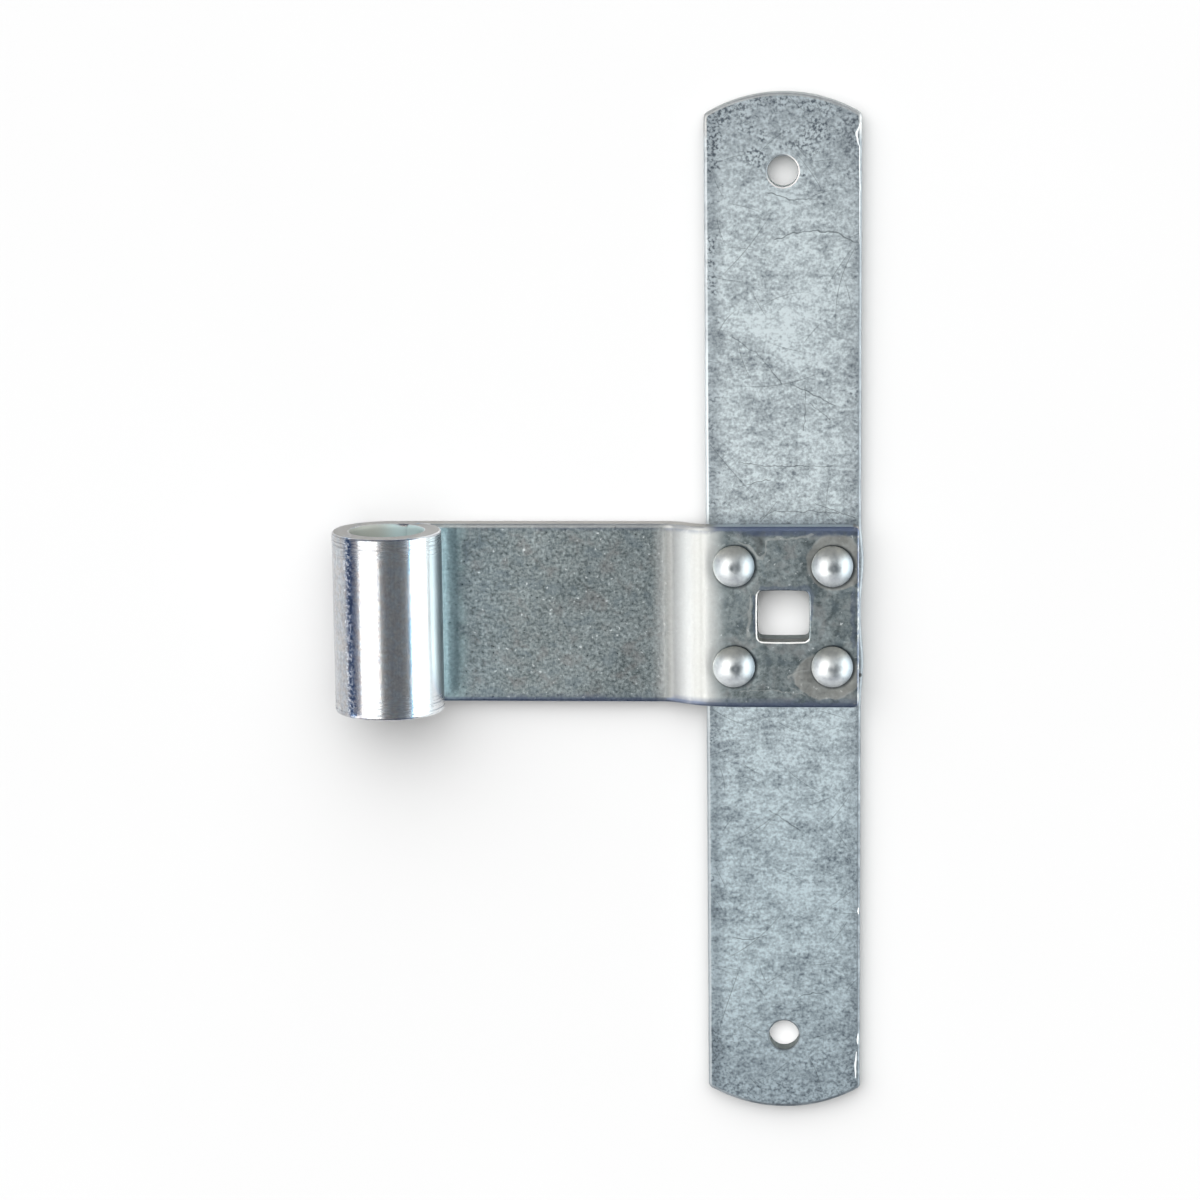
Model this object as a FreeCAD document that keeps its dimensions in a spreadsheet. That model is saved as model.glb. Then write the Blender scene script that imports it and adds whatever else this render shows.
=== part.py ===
# Band leaf of a hook and band hinge: a flat bar rolled into an eye at one end, stepped up at
# the other and riveted across a long strap.
# The origin is the centre of the eye's bore. X runs from the eye to the strap, Y along the bore
# and the strap, Z out of the door's face. Arm and strap share one back plane below the bore.
import FreeCAD, Part
import Sketcher
import math
import os

SIZES = [
    ("armStock", "3.0", "thickness of the arm's flat bar"),
    ("armWidth", "30.2", "width of the arm, which is also the length of the eye"),
    ("boreDiameter", "12.2", "eye bore, for a 12 mm hook pin"),
    ("seamGap", "0.15", "slit between the lip of the rolled end and the arm"),
    ("seamMouth", "0.55", "height of that slit where it opens into the bore"),
    ("strapDistance", "65.6", "bore centre to the strap's centre line"),
    ("joggleAngle", "32.0", "slope of the step that lifts the arm over the strap, in degrees"),
    ("bendRadius", "3.0", "inside radius of the step's two bends"),
    ("plateInset", "0.75", "strap edge that shows past the end of the arm"),
    ("plateCorner", "0.8", "radius of the arm's two end corners"),
    ("strapStock", "3.0", "thickness of the strap's flat bar"),
    ("strapWidth", "25.8", "width of the strap"),
    ("strapLength", "172.7", "length of the strap over its two round ends"),
    ("endRadius", "25.0", "radius of the strap's shallow round ends"),
    ("endCorner", "1.0", "radius where a round end meets the strap's side"),
    ("swellReach", "13.0", "half the length of free strap edge that the riveting has spread"),
    ("swellHeight", "0.45", "how far the riveting has spread that edge"),
    ("screwInset", "12.85", "strap end to the centre of its screw hole"),
    ("screwHoleDiameter", "5.1", "screw hole"),
    ("squareSide", "8.5", "square hole for the neck of a coach bolt"),
    ("squareBow", "0.12", "bow of each side of the square hole"),
    ("squareCorner", "0.7", "corner radius of the square hole"),
    ("rivetInsetX", "4.75", "strap's side to the nearer rivets"),
    ("rivetInsetY", "6.6", "arm's side to the nearer rivets"),
    ("rivetHoleDiameter", "4.1", "rivet hole"),
    ("shankClearance", "0.05", "gap between shank and hole, on the radius"),
    ("headDiameter", "6.9", "rivet head"),
    ("headHeight", "2.3", "height of the rivet head"),
    ("headRim", "0.35", "upright rim below the head's dome"),
    ("tailFlare", "1.0", "depth and width of the countersink that a rivet's tail fills"),
    ("edgeRadius", "0.45", "rounding of the strap's sheared front edge"),
    ("edgeBevel", "0.3", "bevel of the other sheared edges"),
    ("holeBevel", "0.2", "bevel of the punched holes' front rims"),
]

PLACES = [
    ("boreRadius", "=boreDiameter / 2"),
    ("eyeRadius", "=boreRadius + armStock"),
    ("backLevel", "=-eyeRadius"),
    ("strapFront", "=backLevel + strapStock"),
    ("plateFront", "=strapFront + armStock"),
    ("strapLeft", "=strapDistance - strapWidth / 2"),
    ("strapRight", "=strapDistance + strapWidth / 2"),
    ("upperBendX", "=strapLeft + edgeRadius"),
    ("plateEndX", "=strapRight - plateInset"),
    ("endCentreY", "=strapLength / 2 - endRadius"),
    ("screwY", "=strapLength / 2 - screwInset"),
    ("rivetX", "=strapWidth / 2 - rivetInsetX"),
    ("rivetY", "=armWidth / 2 - rivetInsetY"),
    ("swellRadius", "=(swellReach ^ 2 + swellHeight ^ 2) / (4 * swellHeight)"),
    ("squareHalf", "=squareSide / 2"),
    ("squareBowRadius", "=(squareHalf ^ 2 + squareBow ^ 2) / (2 * squareBow)"),
    ("rivetHoleRadius", "=rivetHoleDiameter / 2"),
    ("shankRadius", "=rivetHoleRadius - shankClearance"),
    ("headRadius", "=headDiameter / 2"),
    ("gripLength", "=armStock + strapStock"),
]

# A sketch's own numbers for the ends of a line or arc, for its axes and for its origin
START, END, CENTRE = range(1, 4)
X_AXIS, Y_AXIS = range(-1, -3, -1)
ORIGIN = (X_AXIS, START)
NEAR = 1e-3

doc = FreeCAD.newDocument("BandLeaf")
sheet = doc.addObject("Spreadsheet::Sheet", "Sizes")
for row, (alias, value, meaning) in enumerate(SIZES, start=1):
    sheet.set(f"A{row}", meaning)
    sheet.set(f"B{row}", value)
    sheet.setAlias(f"B{row}", alias)
for row, (alias, formula) in enumerate(PLACES, start=len(SIZES) + 1):
    sheet.set(f"B{row}", formula)
    sheet.setAlias(f"B{row}", alias)
doc.recompute()


def size(alias):
    return float(getattr(sheet, alias))


def newBody(label):
    body = doc.addObject("PartDesign::Body", label)
    body.Label = label
    return body


def newSketch(body, name, role, level=None):
    plane = next(item for item in body.Origin.OriginFeatures if item.Role == role)
    sketch = body.newObject("Sketcher::SketchObject", name)
    sketch.AttachmentSupport = [(plane, "")]
    sketch.MapMode = "FlatFace"
    if level:
        sketch.setExpression("AttachmentOffset.Base.z", level)
    return sketch


def addLine(sketch, start, end):
    return sketch.addGeometry(Part.LineSegment(FreeCAD.Vector(*start), FreeCAD.Vector(*end)))


def addCircle(sketch, centre, radius):
    return sketch.addGeometry(Part.Circle(FreeCAD.Vector(*centre), FreeCAD.Vector(0, 0, 1), radius))


def addArc(sketch, centre, radius, first, last):
    circle = Part.Circle(FreeCAD.Vector(*centre), FreeCAD.Vector(0, 0, 1), radius)
    return sketch.addGeometry(Part.ArcOfCircle(circle, math.radians(first), math.radians(last)))


def onCircle(centre, radius, angle):
    turn = math.radians(angle)
    return centre[0] + radius * math.cos(turn), centre[1] + radius * math.sin(turn)


def join(sketch, first, second):
    sketch.addConstraint(Sketcher.Constraint("Coincident", *first, *second))


def joinSmoothly(sketch, first, second):
    sketch.addConstraint(Sketcher.Constraint("Tangent", *first, *second))


def constrain(sketch, kind, *where):
    sketch.addConstraint(Sketcher.Constraint(kind, *where))


def dimension(sketch, name, kind, where, expression):
    value = float(sheet.evalExpression(expression))
    if kind == "Angle":
        value = math.radians(value)
        expression = f"{expression} * 1 deg"
    index = sketch.addConstraint(Sketcher.Constraint(kind, *where, value))
    sketch.renameConstraint(index, name)
    sketch.setExpression(f"Constraints.{name}", expression)


def padSketch(body, sketch, name, length, sides="One side"):
    feature = body.newObject("PartDesign::Pad", name)
    feature.Profile = sketch
    feature.SideType = sides
    feature.setExpression("Length", length)
    doc.recompute()


def cutThrough(body, sketch, name):
    feature = body.newObject("PartDesign::Pocket", name)
    feature.Profile = sketch
    feature.Type = "ThroughAll"
    doc.recompute()


def dressEdges(body, kind, name, amount, wanted):
    base = body.Tip
    chosen = [f"Edge{i}" for i, edge in enumerate(base.Shape.Edges, start=1) if wanted(edge)]
    feature = body.newObject(f"PartDesign::{kind}", name)
    feature.Base = (base, chosen)
    feature.setExpression("Radius" if kind == "Fillet" else "Size", amount)
    doc.recompute()


def isUpright(edge):
    return isinstance(edge.Curve, Part.Line) and abs(edge.Curve.Direction.z) > 1 - NEAR


def isAtLevel(edge, level):
    box = edge.BoundBox
    return max(abs(box.ZMin - level), abs(box.ZMax - level)) < NEAR


def isNear(edge, x, y, reach):
    middle = edge.CenterOfGravity
    return abs(middle.x - x) < reach and abs(middle.y - y) < reach


def isRimOf(edge, radius):
    return isinstance(edge.Curve, Part.Circle) and abs(edge.Curve.Radius - radius) < NEAR


def isLipEdge(edge):
    box = edge.BoundBox
    lip = size("seamGap") - size("boreRadius")
    mouth = size("seamMouth") - size("boreRadius")
    return abs(box.ZMin - lip) < NEAR and abs(box.ZMax - mouth) < NEAR


# The arm's side view: eye, flat, step and the plate that lies on the strap
def armProfile(body):
    sketch = newSketch(body, "ArmProfile", "XZ_Plane")
    bore, eye, stock = size("boreRadius"), size("eyeRadius"), size("armStock")
    inner, outer = size("bendRadius"), size("bendRadius") + stock
    slope = size("joggleAngle")
    rise, run = math.sin(math.radians(slope)), math.cos(math.radians(slope))
    straight = (size("strapStock") - (inner + outer) * (1 - run)) / rise
    low = (size("upperBendX") - straight * run - (inner + outer) * rise, inner - bore)
    high = (size("upperBendX"), size("strapFront") - inner)
    plateEnd = size("plateEndX")
    lipAngle = -math.degrees(math.asin((bore - size("seamGap")) / eye))
    mouthAngle = -math.degrees(math.asin((bore - size("seamMouth")) / bore))

    eyeArc = addArc(sketch, (0, 0), eye, lipAngle, 270)
    backLow = addLine(sketch, (0, -eye), (low[0], -eye))
    lowOuter = addArc(sketch, low, outer, -90, slope - 90)
    backSlope = addLine(sketch, onCircle(low, outer, slope - 90), onCircle(high, inner, slope + 90))
    highInner = addArc(sketch, high, inner, 90, slope + 90)
    backHigh = addLine(sketch, (high[0], size("strapFront")), (plateEnd, size("strapFront")))
    endLine = addLine(sketch, (plateEnd, size("strapFront")), (plateEnd, size("plateFront")))
    frontHigh = addLine(sketch, (plateEnd, size("plateFront")), (high[0], size("plateFront")))
    highOuter = addArc(sketch, high, outer, 90, slope + 90)
    frontSlope = addLine(sketch, onCircle(high, outer, slope + 90), onCircle(low, inner, slope - 90))
    lowInner = addArc(sketch, low, inner, -90, slope - 90)
    frontLow = addLine(sketch, (low[0], -bore), (0, -bore))
    boreArc = addArc(sketch, (0, 0), bore, mouthAngle, 270)
    lip = addLine(sketch, onCircle((0, 0), bore, mouthAngle), onCircle((0, 0), eye, lipAngle))

    joinSmoothly(sketch, (eyeArc, END), (backLow, START))
    joinSmoothly(sketch, (backLow, END), (lowOuter, START))
    joinSmoothly(sketch, (lowOuter, END), (backSlope, START))
    joinSmoothly(sketch, (backSlope, END), (highInner, END))
    joinSmoothly(sketch, (highInner, START), (backHigh, START))
    join(sketch, (backHigh, END), (endLine, START))
    join(sketch, (endLine, END), (frontHigh, START))
    joinSmoothly(sketch, (frontHigh, END), (highOuter, START))
    joinSmoothly(sketch, (highOuter, END), (frontSlope, START))
    joinSmoothly(sketch, (frontSlope, END), (lowInner, END))
    joinSmoothly(sketch, (lowInner, START), (frontLow, START))
    joinSmoothly(sketch, (frontLow, END), (boreArc, END))
    join(sketch, (boreArc, START), (lip, START))
    join(sketch, (lip, END), (eyeArc, START))
    join(sketch, (eyeArc, CENTRE), ORIGIN)
    join(sketch, (boreArc, CENTRE), ORIGIN)
    join(sketch, (lowOuter, CENTRE), (lowInner, CENTRE))
    join(sketch, (highOuter, CENTRE), (highInner, CENTRE))
    for level in (backLow, backHigh, frontHigh, frontLow):
        constrain(sketch, "Horizontal", level)
    constrain(sketch, "Vertical", endLine)

    dimension(sketch, "bore", "Radius", (boreArc,), "Sizes.boreRadius")
    dimension(sketch, "eye", "Radius", (eyeArc,), "Sizes.eyeRadius")
    dimension(sketch, "lowBend", "Radius", (lowInner,), "Sizes.bendRadius")
    dimension(sketch, "highBend", "Radius", (highInner,), "Sizes.bendRadius")
    dimension(sketch, "slope", "Angle", (backSlope,), "Sizes.joggleAngle")
    dimension(sketch, "step", "DistanceY", (backLow, END, backHigh, START), "Sizes.strapStock")
    dimension(sketch, "stock", "DistanceY", (endLine, START, endLine, END), "Sizes.armStock")
    dimension(sketch, "bendEnd", "DistanceX", (*ORIGIN, highInner, START), "Sizes.upperBendX")
    dimension(sketch, "plateEnd", "DistanceX", (*ORIGIN, endLine, START), "Sizes.plateEndX")
    dimension(sketch, "lipLevel", "DistanceY", (*ORIGIN, lip, END), "Sizes.seamGap - Sizes.boreRadius")
    dimension(sketch, "mouthLevel", "DistanceY", (*ORIGIN, lip, START),
              "Sizes.seamMouth - Sizes.boreRadius")
    return sketch


# The strap's outline, with the free edge slightly swollen beside the rivets
def strapOutline(body):
    sketch = newSketch(body, "StrapOutline", "XY_Plane", "Sizes.backLevel")
    left, right = size("strapLeft"), size("strapRight")
    half = size("strapWidth") / 2
    crown, centreY = size("endRadius"), size("endCentreY")
    fan = math.degrees(math.asin(half / crown))
    corner = centreY + crown * math.cos(math.radians(fan))
    reach, swell = size("swellReach"), size("swellRadius")
    sweep = math.degrees(math.asin(reach / 2 / swell))
    middle = size("strapDistance")

    rightLow = addLine(sketch, (right, -corner), (right, -reach))
    swellLow = addArc(sketch, (right + swell, -reach), swell, 180 - sweep, 180)
    bulge = addArc(sketch, (right + size("swellHeight") - swell, 0), swell, -sweep, sweep)
    swellHigh = addArc(sketch, (right + swell, reach), swell, 180, 180 + sweep)
    rightHigh = addLine(sketch, (right, reach), (right, corner))
    topArc = addArc(sketch, (middle, centreY), crown, 90 - fan, 90 + fan)
    leftSide = addLine(sketch, (left, corner), (left, -corner))
    bottomArc = addArc(sketch, (middle, -centreY), crown, 270 - fan, 270 + fan)

    joinSmoothly(sketch, (rightLow, END), (swellLow, END))
    joinSmoothly(sketch, (swellLow, START), (bulge, START))
    joinSmoothly(sketch, (bulge, END), (swellHigh, END))
    joinSmoothly(sketch, (swellHigh, START), (rightHigh, START))
    join(sketch, (rightHigh, END), (topArc, START))
    join(sketch, (topArc, END), (leftSide, START))
    join(sketch, (leftSide, END), (bottomArc, START))
    join(sketch, (bottomArc, END), (rightLow, START))
    for side in (rightLow, rightHigh, leftSide):
        constrain(sketch, "Vertical", side)
    constrain(sketch, "PointOnObject", bulge, CENTRE, X_AXIS)

    for name, arc in (("swellLow", swellLow), ("bulge", bulge), ("swellHigh", swellHigh)):
        dimension(sketch, name, "Radius", (arc,), "Sizes.swellRadius")
    dimension(sketch, "reachLow", "DistanceY", (*ORIGIN, rightLow, END), "-Sizes.swellReach")
    dimension(sketch, "reachHigh", "DistanceY", (*ORIGIN, rightHigh, START), "Sizes.swellReach")
    dimension(sketch, "right", "DistanceX", (*ORIGIN, rightLow, END), "Sizes.strapRight")
    dimension(sketch, "left", "DistanceX", (*ORIGIN, leftSide, START), "Sizes.strapLeft")
    for name, arc, sign in (("top", topArc, "1"), ("bottom", bottomArc, "-1")):
        dimension(sketch, f"{name}Radius", "Radius", (arc,), "Sizes.endRadius")
        dimension(sketch, f"{name}X", "DistanceX", (*ORIGIN, arc, CENTRE), "Sizes.strapDistance")
        dimension(sketch, f"{name}Y", "DistanceY", (*ORIGIN, arc, CENTRE), f"{sign} * Sizes.endCentreY")
    return sketch


def addHole(sketch, name, radius, across, along):
    values = [float(sheet.evalExpression(text)) for text in (radius, across, along)]
    hole = addCircle(sketch, values[1:], values[0])
    dimension(sketch, f"{name}Radius", "Radius", (hole,), radius)
    dimension(sketch, f"{name}X", "DistanceX", (*ORIGIN, hole, CENTRE), across)
    dimension(sketch, f"{name}Y", "DistanceY", (*ORIGIN, hole, CENTRE), along)


RIVETS = {
    "rivet_upper_left": (-1, 1),
    "rivet_upper_right": (1, 1),
    "rivet_lower_left": (-1, -1),
    "rivet_lower_right": (1, -1),
}


def acrossStrap(side):
    return f"Sizes.strapDistance + {side} * Sizes.rivetX"


def alongStrap(end):
    return f"{end} * Sizes.rivetY"


def cutRivetHoles(body, level):
    sketch = newSketch(body, "RivetHoles", "XY_Plane", level)
    for name, (side, end) in RIVETS.items():
        addHole(sketch, name, "Sizes.rivetHoleRadius", acrossStrap(side), alongStrap(end))
    cutThrough(body, sketch, "RivetHoleCut")


# A square hole with four slightly bowed sides and rounded corners
def cutSquareHole(body, level):
    sketch = newSketch(body, "SquareHole", "XY_Plane", level)
    middle, half, bow = size("strapDistance"), size("squareHalf"), size("squareBowRadius")
    spread = math.degrees(math.asin(half / bow))
    setBack = bow - half - size("squareBow")
    sides = []
    for turn in (0, 90, 180, 270):
        centre = onCircle((middle, 0), -setBack, turn)
        sides.append(addArc(sketch, centre, bow, turn - spread, turn + spread))
    for side, following in zip(sides, sides[1:] + sides[:1]):
        join(sketch, (side, END), (following, START))
    for number, side in enumerate(sides):
        dimension(sketch, f"bow{number}", "Radius", (side,), "Sizes.squareBowRadius")
        constrain(sketch, "Horizontal" if number % 2 else "Vertical", side, START, side, END)
    for name, side, sign in (("LowerRight", sides[0], 1), ("UpperLeft", sides[2], -1)):
        dimension(sketch, f"x{name}", "DistanceX", (*ORIGIN, side, START),
                  f"Sizes.strapDistance + {sign} * Sizes.squareHalf")
        dimension(sketch, f"y{name}", "DistanceY", (*ORIGIN, side, START), f"-{sign} * Sizes.squareHalf")
    cutThrough(body, sketch, "SquareHoleCut")

    reach = half + size("squareBow") + size("squareCorner")
    dressEdges(body, "Fillet", "SquareCorners", "Sizes.squareCorner",
               lambda edge: isUpright(edge) and isNear(edge, middle, 0, reach))
    front = float(sheet.evalExpression(level))
    dressEdges(body, "Chamfer", "SquareRim", "Sizes.holeBevel",
               lambda edge: isAtLevel(edge, front) and isNear(edge, middle, 0, reach))


def makeArm():
    body = newBody("eye_arm")
    padSketch(body, armProfile(body), "ArmBar", "Sizes.armWidth", "Symmetric")
    plateEnd = size("plateEndX")
    dressEdges(body, "Fillet", "PlateCorners", "Sizes.plateCorner",
               lambda edge: isUpright(edge) and abs(edge.CenterOfGravity.x - plateEnd) < NEAR)
    side = size("armWidth") / 2
    dressEdges(body, "Chamfer", "ShearedEdges", "Sizes.edgeBevel",
               lambda edge: abs(abs(edge.CenterOfGravity.y) - side) < NEAR
               and not isUpright(edge) and not isLipEdge(edge))
    cutRivetHoles(body, "Sizes.plateFront")
    cutSquareHole(body, "Sizes.plateFront")
    return body


def makeStrap():
    body = newBody("cross_strap")
    padSketch(body, strapOutline(body), "StrapBar", "Sizes.strapStock")
    dressEdges(body, "Fillet", "EndCorners", "Sizes.endCorner", isUpright)
    back, front = size("backLevel"), size("strapFront")
    dressEdges(body, "Fillet", "FrontEdges", "Sizes.edgeRadius", lambda edge: isAtLevel(edge, front))
    dressEdges(body, "Chamfer", "BackEdges", "Sizes.edgeBevel", lambda edge: isAtLevel(edge, back))
    cutRivetHoles(body, "Sizes.strapFront")
    hole = size("rivetHoleRadius")
    dressEdges(body, "Chamfer", "RivetCountersinks", "Sizes.tailFlare",
               lambda edge: isAtLevel(edge, back) and isRimOf(edge, hole))
    cutSquareHole(body, "Sizes.strapFront")

    sketch = newSketch(body, "ScrewHoles", "XY_Plane", "Sizes.strapFront")
    for name, end in (("upper", 1), ("lower", -1)):
        addHole(sketch, name, "Sizes.screwHoleDiameter / 2", "Sizes.strapDistance",
                f"{end} * Sizes.screwY")
    cutThrough(body, sketch, "ScrewHoleCut")
    screw = size("screwHoleDiameter") / 2
    dressEdges(body, "Chamfer", "ScrewHoleRims", "Sizes.holeBevel",
               lambda edge: isAtLevel(edge, front) and isRimOf(edge, screw))
    return body


# Domed rivet, turned about its own axis with the origin under the head
def makeRivet(label, side, end):
    body = newBody(label)
    sketch = newSketch(body, "RivetProfile", "XZ_Plane")
    head, rim, height = size("headRadius"), size("headRim"), size("headHeight")
    shank, hole = size("shankRadius"), size("rivetHoleRadius")
    flare, grip = size("tailFlare"), size("gripLength")
    crown = height - rim
    dome = (head ** 2 + crown ** 2) / (2 * crown)
    rimAngle = math.degrees(math.asin((dome - crown) / dome))

    domeArc = addArc(sketch, (0, height - dome), dome, rimAngle, 90)
    rimLine = addLine(sketch, (head, rim), (head, 0))
    seat = addLine(sketch, (head, 0), (shank, 0))
    shankLine = addLine(sketch, (shank, 0), (shank, flare - grip))
    step = addLine(sketch, (shank, flare - grip), (hole, flare - grip))
    flareLine = addLine(sketch, (hole, flare - grip), (hole + flare, -grip))
    tail = addLine(sketch, (hole + flare, -grip), (0, -grip))
    axis = addLine(sketch, (0, -grip), (0, height))

    join(sketch, (domeArc, START), (rimLine, START))
    for first, second in ((rimLine, seat), (seat, shankLine), (shankLine, step), (step, flareLine),
                          (flareLine, tail), (tail, axis)):
        join(sketch, (first, END), (second, START))
    join(sketch, (axis, END), (domeArc, END))
    for level in (seat, step, tail):
        constrain(sketch, "Horizontal", level)
    for upright in (rimLine, shankLine, axis):
        constrain(sketch, "Vertical", upright)
    constrain(sketch, "PointOnObject", axis, START, Y_AXIS)
    constrain(sketch, "PointOnObject", domeArc, CENTRE, Y_AXIS)
    constrain(sketch, "PointOnObject", rimLine, END, X_AXIS)
    dimension(sketch, "head", "DistanceX", (*ORIGIN, rimLine, START), "Sizes.headRadius")
    dimension(sketch, "rim", "DistanceY", (*ORIGIN, rimLine, START), "Sizes.headRim")
    dimension(sketch, "height", "DistanceY", (*ORIGIN, domeArc, END), "Sizes.headHeight")
    dimension(sketch, "shank", "DistanceX", (*ORIGIN, shankLine, START), "Sizes.shankRadius")
    dimension(sketch, "sinkTop", "DistanceY", (*ORIGIN, step, END), "Sizes.tailFlare - Sizes.gripLength")
    dimension(sketch, "hole", "DistanceX", (*ORIGIN, step, END), "Sizes.rivetHoleRadius")
    dimension(sketch, "tailRadius", "DistanceX", (*ORIGIN, tail, START),
              "Sizes.rivetHoleRadius + Sizes.tailFlare")
    dimension(sketch, "tailLevel", "DistanceY", (*ORIGIN, tail, START), "-Sizes.gripLength")

    turning = body.newObject("PartDesign::Revolution", "RivetTurning")
    turning.Profile = sketch
    turning.ReferenceAxis = (sketch, ["V_Axis"])
    turning.Angle = 360
    body.setExpression("Placement.Base.x", acrossStrap(side))
    body.setExpression("Placement.Base.y", alongStrap(end))
    body.setExpression("Placement.Base.z", "Sizes.plateFront")
    doc.recompute()
    return body


bodies = [makeArm(), makeStrap()]
bodies += [makeRivet(label, side, end) for label, (side, end) in RIVETS.items()]
doc.recompute()

for item in doc.Objects:
    if "Invalid" in item.State or "Error" in item.State:
        raise RuntimeError(f"{item.Name} failed: {item.State}")
    if item.TypeId == "Sketcher::SketchObject" and item.solve() != 0:
        raise RuntimeError(f"{item.Name} isn't solved")
    if item.TypeId in ("PartDesign::Pocket", "PartDesign::Chamfer"):
        if item.Shape.Volume >= item.BaseFeature.Shape.Volume:
            raise RuntimeError(f"{item.Name} removed nothing")
    if item.TypeId == "PartDesign::Fillet":
        if abs(item.Shape.Volume - item.BaseFeature.Shape.Volume) < NEAR:
            raise RuntimeError(f"{item.Name} rounded nothing")
for body in bodies:
    if body.Shape.isNull() or not body.Shape.isValid() or len(body.Shape.Solids) != 1:
        raise RuntimeError(f"{body.Label} isn't one valid solid")

os.makedirs("parts", exist_ok=True)
for body in bodies:
    body.Shape.exportStep(f"parts/{body.Label}.step")
    print(f"{body.Label}: {body.Shape.Volume:.1f} mm3")
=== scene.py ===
import math

import bmesh
import bpy
import numpy as np
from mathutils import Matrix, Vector, geometry, noise


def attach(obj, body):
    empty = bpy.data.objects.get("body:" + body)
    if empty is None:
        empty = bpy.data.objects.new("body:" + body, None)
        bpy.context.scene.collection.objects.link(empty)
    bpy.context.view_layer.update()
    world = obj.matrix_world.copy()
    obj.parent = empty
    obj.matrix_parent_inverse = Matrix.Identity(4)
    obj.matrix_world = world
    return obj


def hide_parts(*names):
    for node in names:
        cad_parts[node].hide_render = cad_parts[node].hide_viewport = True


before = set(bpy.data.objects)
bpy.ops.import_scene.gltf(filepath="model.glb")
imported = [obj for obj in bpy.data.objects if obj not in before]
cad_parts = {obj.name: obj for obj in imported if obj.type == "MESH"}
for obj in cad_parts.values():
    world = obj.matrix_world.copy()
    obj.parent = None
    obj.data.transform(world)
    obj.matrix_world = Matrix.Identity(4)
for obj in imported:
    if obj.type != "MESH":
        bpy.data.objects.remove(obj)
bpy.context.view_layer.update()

# All sizes below are in millimetres in the CAD frame. Meshes are scaled to metres when made.
mm = 0.001


# Node helpers

def feed(tree, socket, value):
    if isinstance(value, bpy.types.NodeSocket):
        tree.links.new(value, socket)
    else:
        socket.default_value = value


def addNode(tree, kind, inputs=None, **settings):
    node = tree.nodes.new("ShaderNode" + kind)
    for name, value in settings.items():
        setattr(node, name, value)
    for name, value in (inputs or {}).items():
        feed(tree, node.inputs[name], value)
    return node


def calc(tree, operation, *values, clamp=False):
    node = addNode(tree, "Math", dict(enumerate(values)), operation=operation, use_clamp=clamp)
    return node.outputs[0]


def times(tree, first, *others):
    for value in others:
        first = calc(tree, "MULTIPLY", first, value)
    return first


def plus(tree, first, second, clamp=False):
    return calc(tree, "ADD", first, second, clamp=clamp)


def minus(tree, first, second, clamp=False):
    return calc(tree, "SUBTRACT", first, second, clamp=clamp)


def vectorCalc(tree, operation, *values):
    node = addNode(tree, "VectorMath", dict(enumerate(values)), operation=operation)
    return node.outputs[1 if operation in ("DISTANCE", "DOT_PRODUCT", "LENGTH") else 0]


def remap(tree, value, low, high, newLow=0.0, newHigh=1.0, kind="SMOOTHSTEP"):
    node = addNode(tree, "MapRange", {"Value": value, "From Min": low, "From Max": high,
                                      "To Min": newLow, "To Max": newHigh}, interpolation_type=kind)
    return node.outputs["Result"]


# Adds up (value, weight) pairs round a middle tone
def layerTones(tree, layers, middle=0.5):
    tone = middle - sum(weight for value, weight in layers) / 2
    for value, weight in layers:
        tone = addNode(tree, "Math", {0: value, 1: weight, 2: tone}, operation="MULTIPLY_ADD").outputs[0]
    return plus(tree, tone, 0.0, clamp=True)


def mixColour(tree, factor, first, second):
    node = addNode(tree, "Mix", {0: factor, 6: first, 7: second}, data_type="RGBA")
    return node.outputs[2]


def mixValue(tree, factor, first, second):
    return addNode(tree, "Mix", {0: factor, 2: first, 3: second}).outputs[0]


def shadeBy(tree, factor, colour, shade):
    node = addNode(tree, "Mix", {0: factor, 6: colour, 7: shade}, data_type="RGBA", blend_type="MULTIPLY")
    return node.outputs[2]


# Laid over the colour with the given strength
def tint(tree, colour, mask, strength, shade):
    return mixColour(tree, times(tree, mask, strength), colour, shade)


def scaleVector(tree, vector, scale):
    return addNode(tree, "VectorMath", {0: vector, "Scale": scale}, operation="SCALE").outputs[0]


def pointInMm(tree):
    return scaleVector(tree, addNode(tree, "TexCoord").outputs["Object"], 1 / mm)


def addBump(tree, shader, height, strength, depth):
    bump = addNode(tree, "Bump", {"Strength": strength, "Distance": depth * mm, "Height": height})
    feed(tree, shader.inputs["Normal"], bump.outputs[0])


def newGroup(name, inputs, outputs):
    group = bpy.data.node_groups.new(name, "ShaderNodeTree")
    for label, kind, value in inputs:
        socket = group.interface.new_socket(name=label, in_out="INPUT", socket_type="NodeSocket" + kind)
        if value is not None:
            socket.default_value = value
    for label in outputs:
        group.interface.new_socket(name=label, in_out="OUTPUT", socket_type="NodeSocketFloat")
    given = group.nodes.new("NodeGroupInput").outputs
    result = group.nodes.new("NodeGroupOutput").inputs
    return group, given, result


# The values go to the group's inputs in their order
def placeGroup(tree, group, *values):
    node = addNode(tree, "Group", node_tree=group)
    for socket, value in zip(node.inputs, values, strict=True):
        feed(tree, socket, value)
    return node.outputs


def newMaterial(name):
    material = bpy.data.materials.new(name)
    material.use_nodes = True
    tree = material.node_tree
    return material, tree, tree.nodes["Principled BSDF"]


# Shared effects

def scaleFor(tree, size, cells=1.0):
    return calc(tree, "DIVIDE", cells, size)


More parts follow.
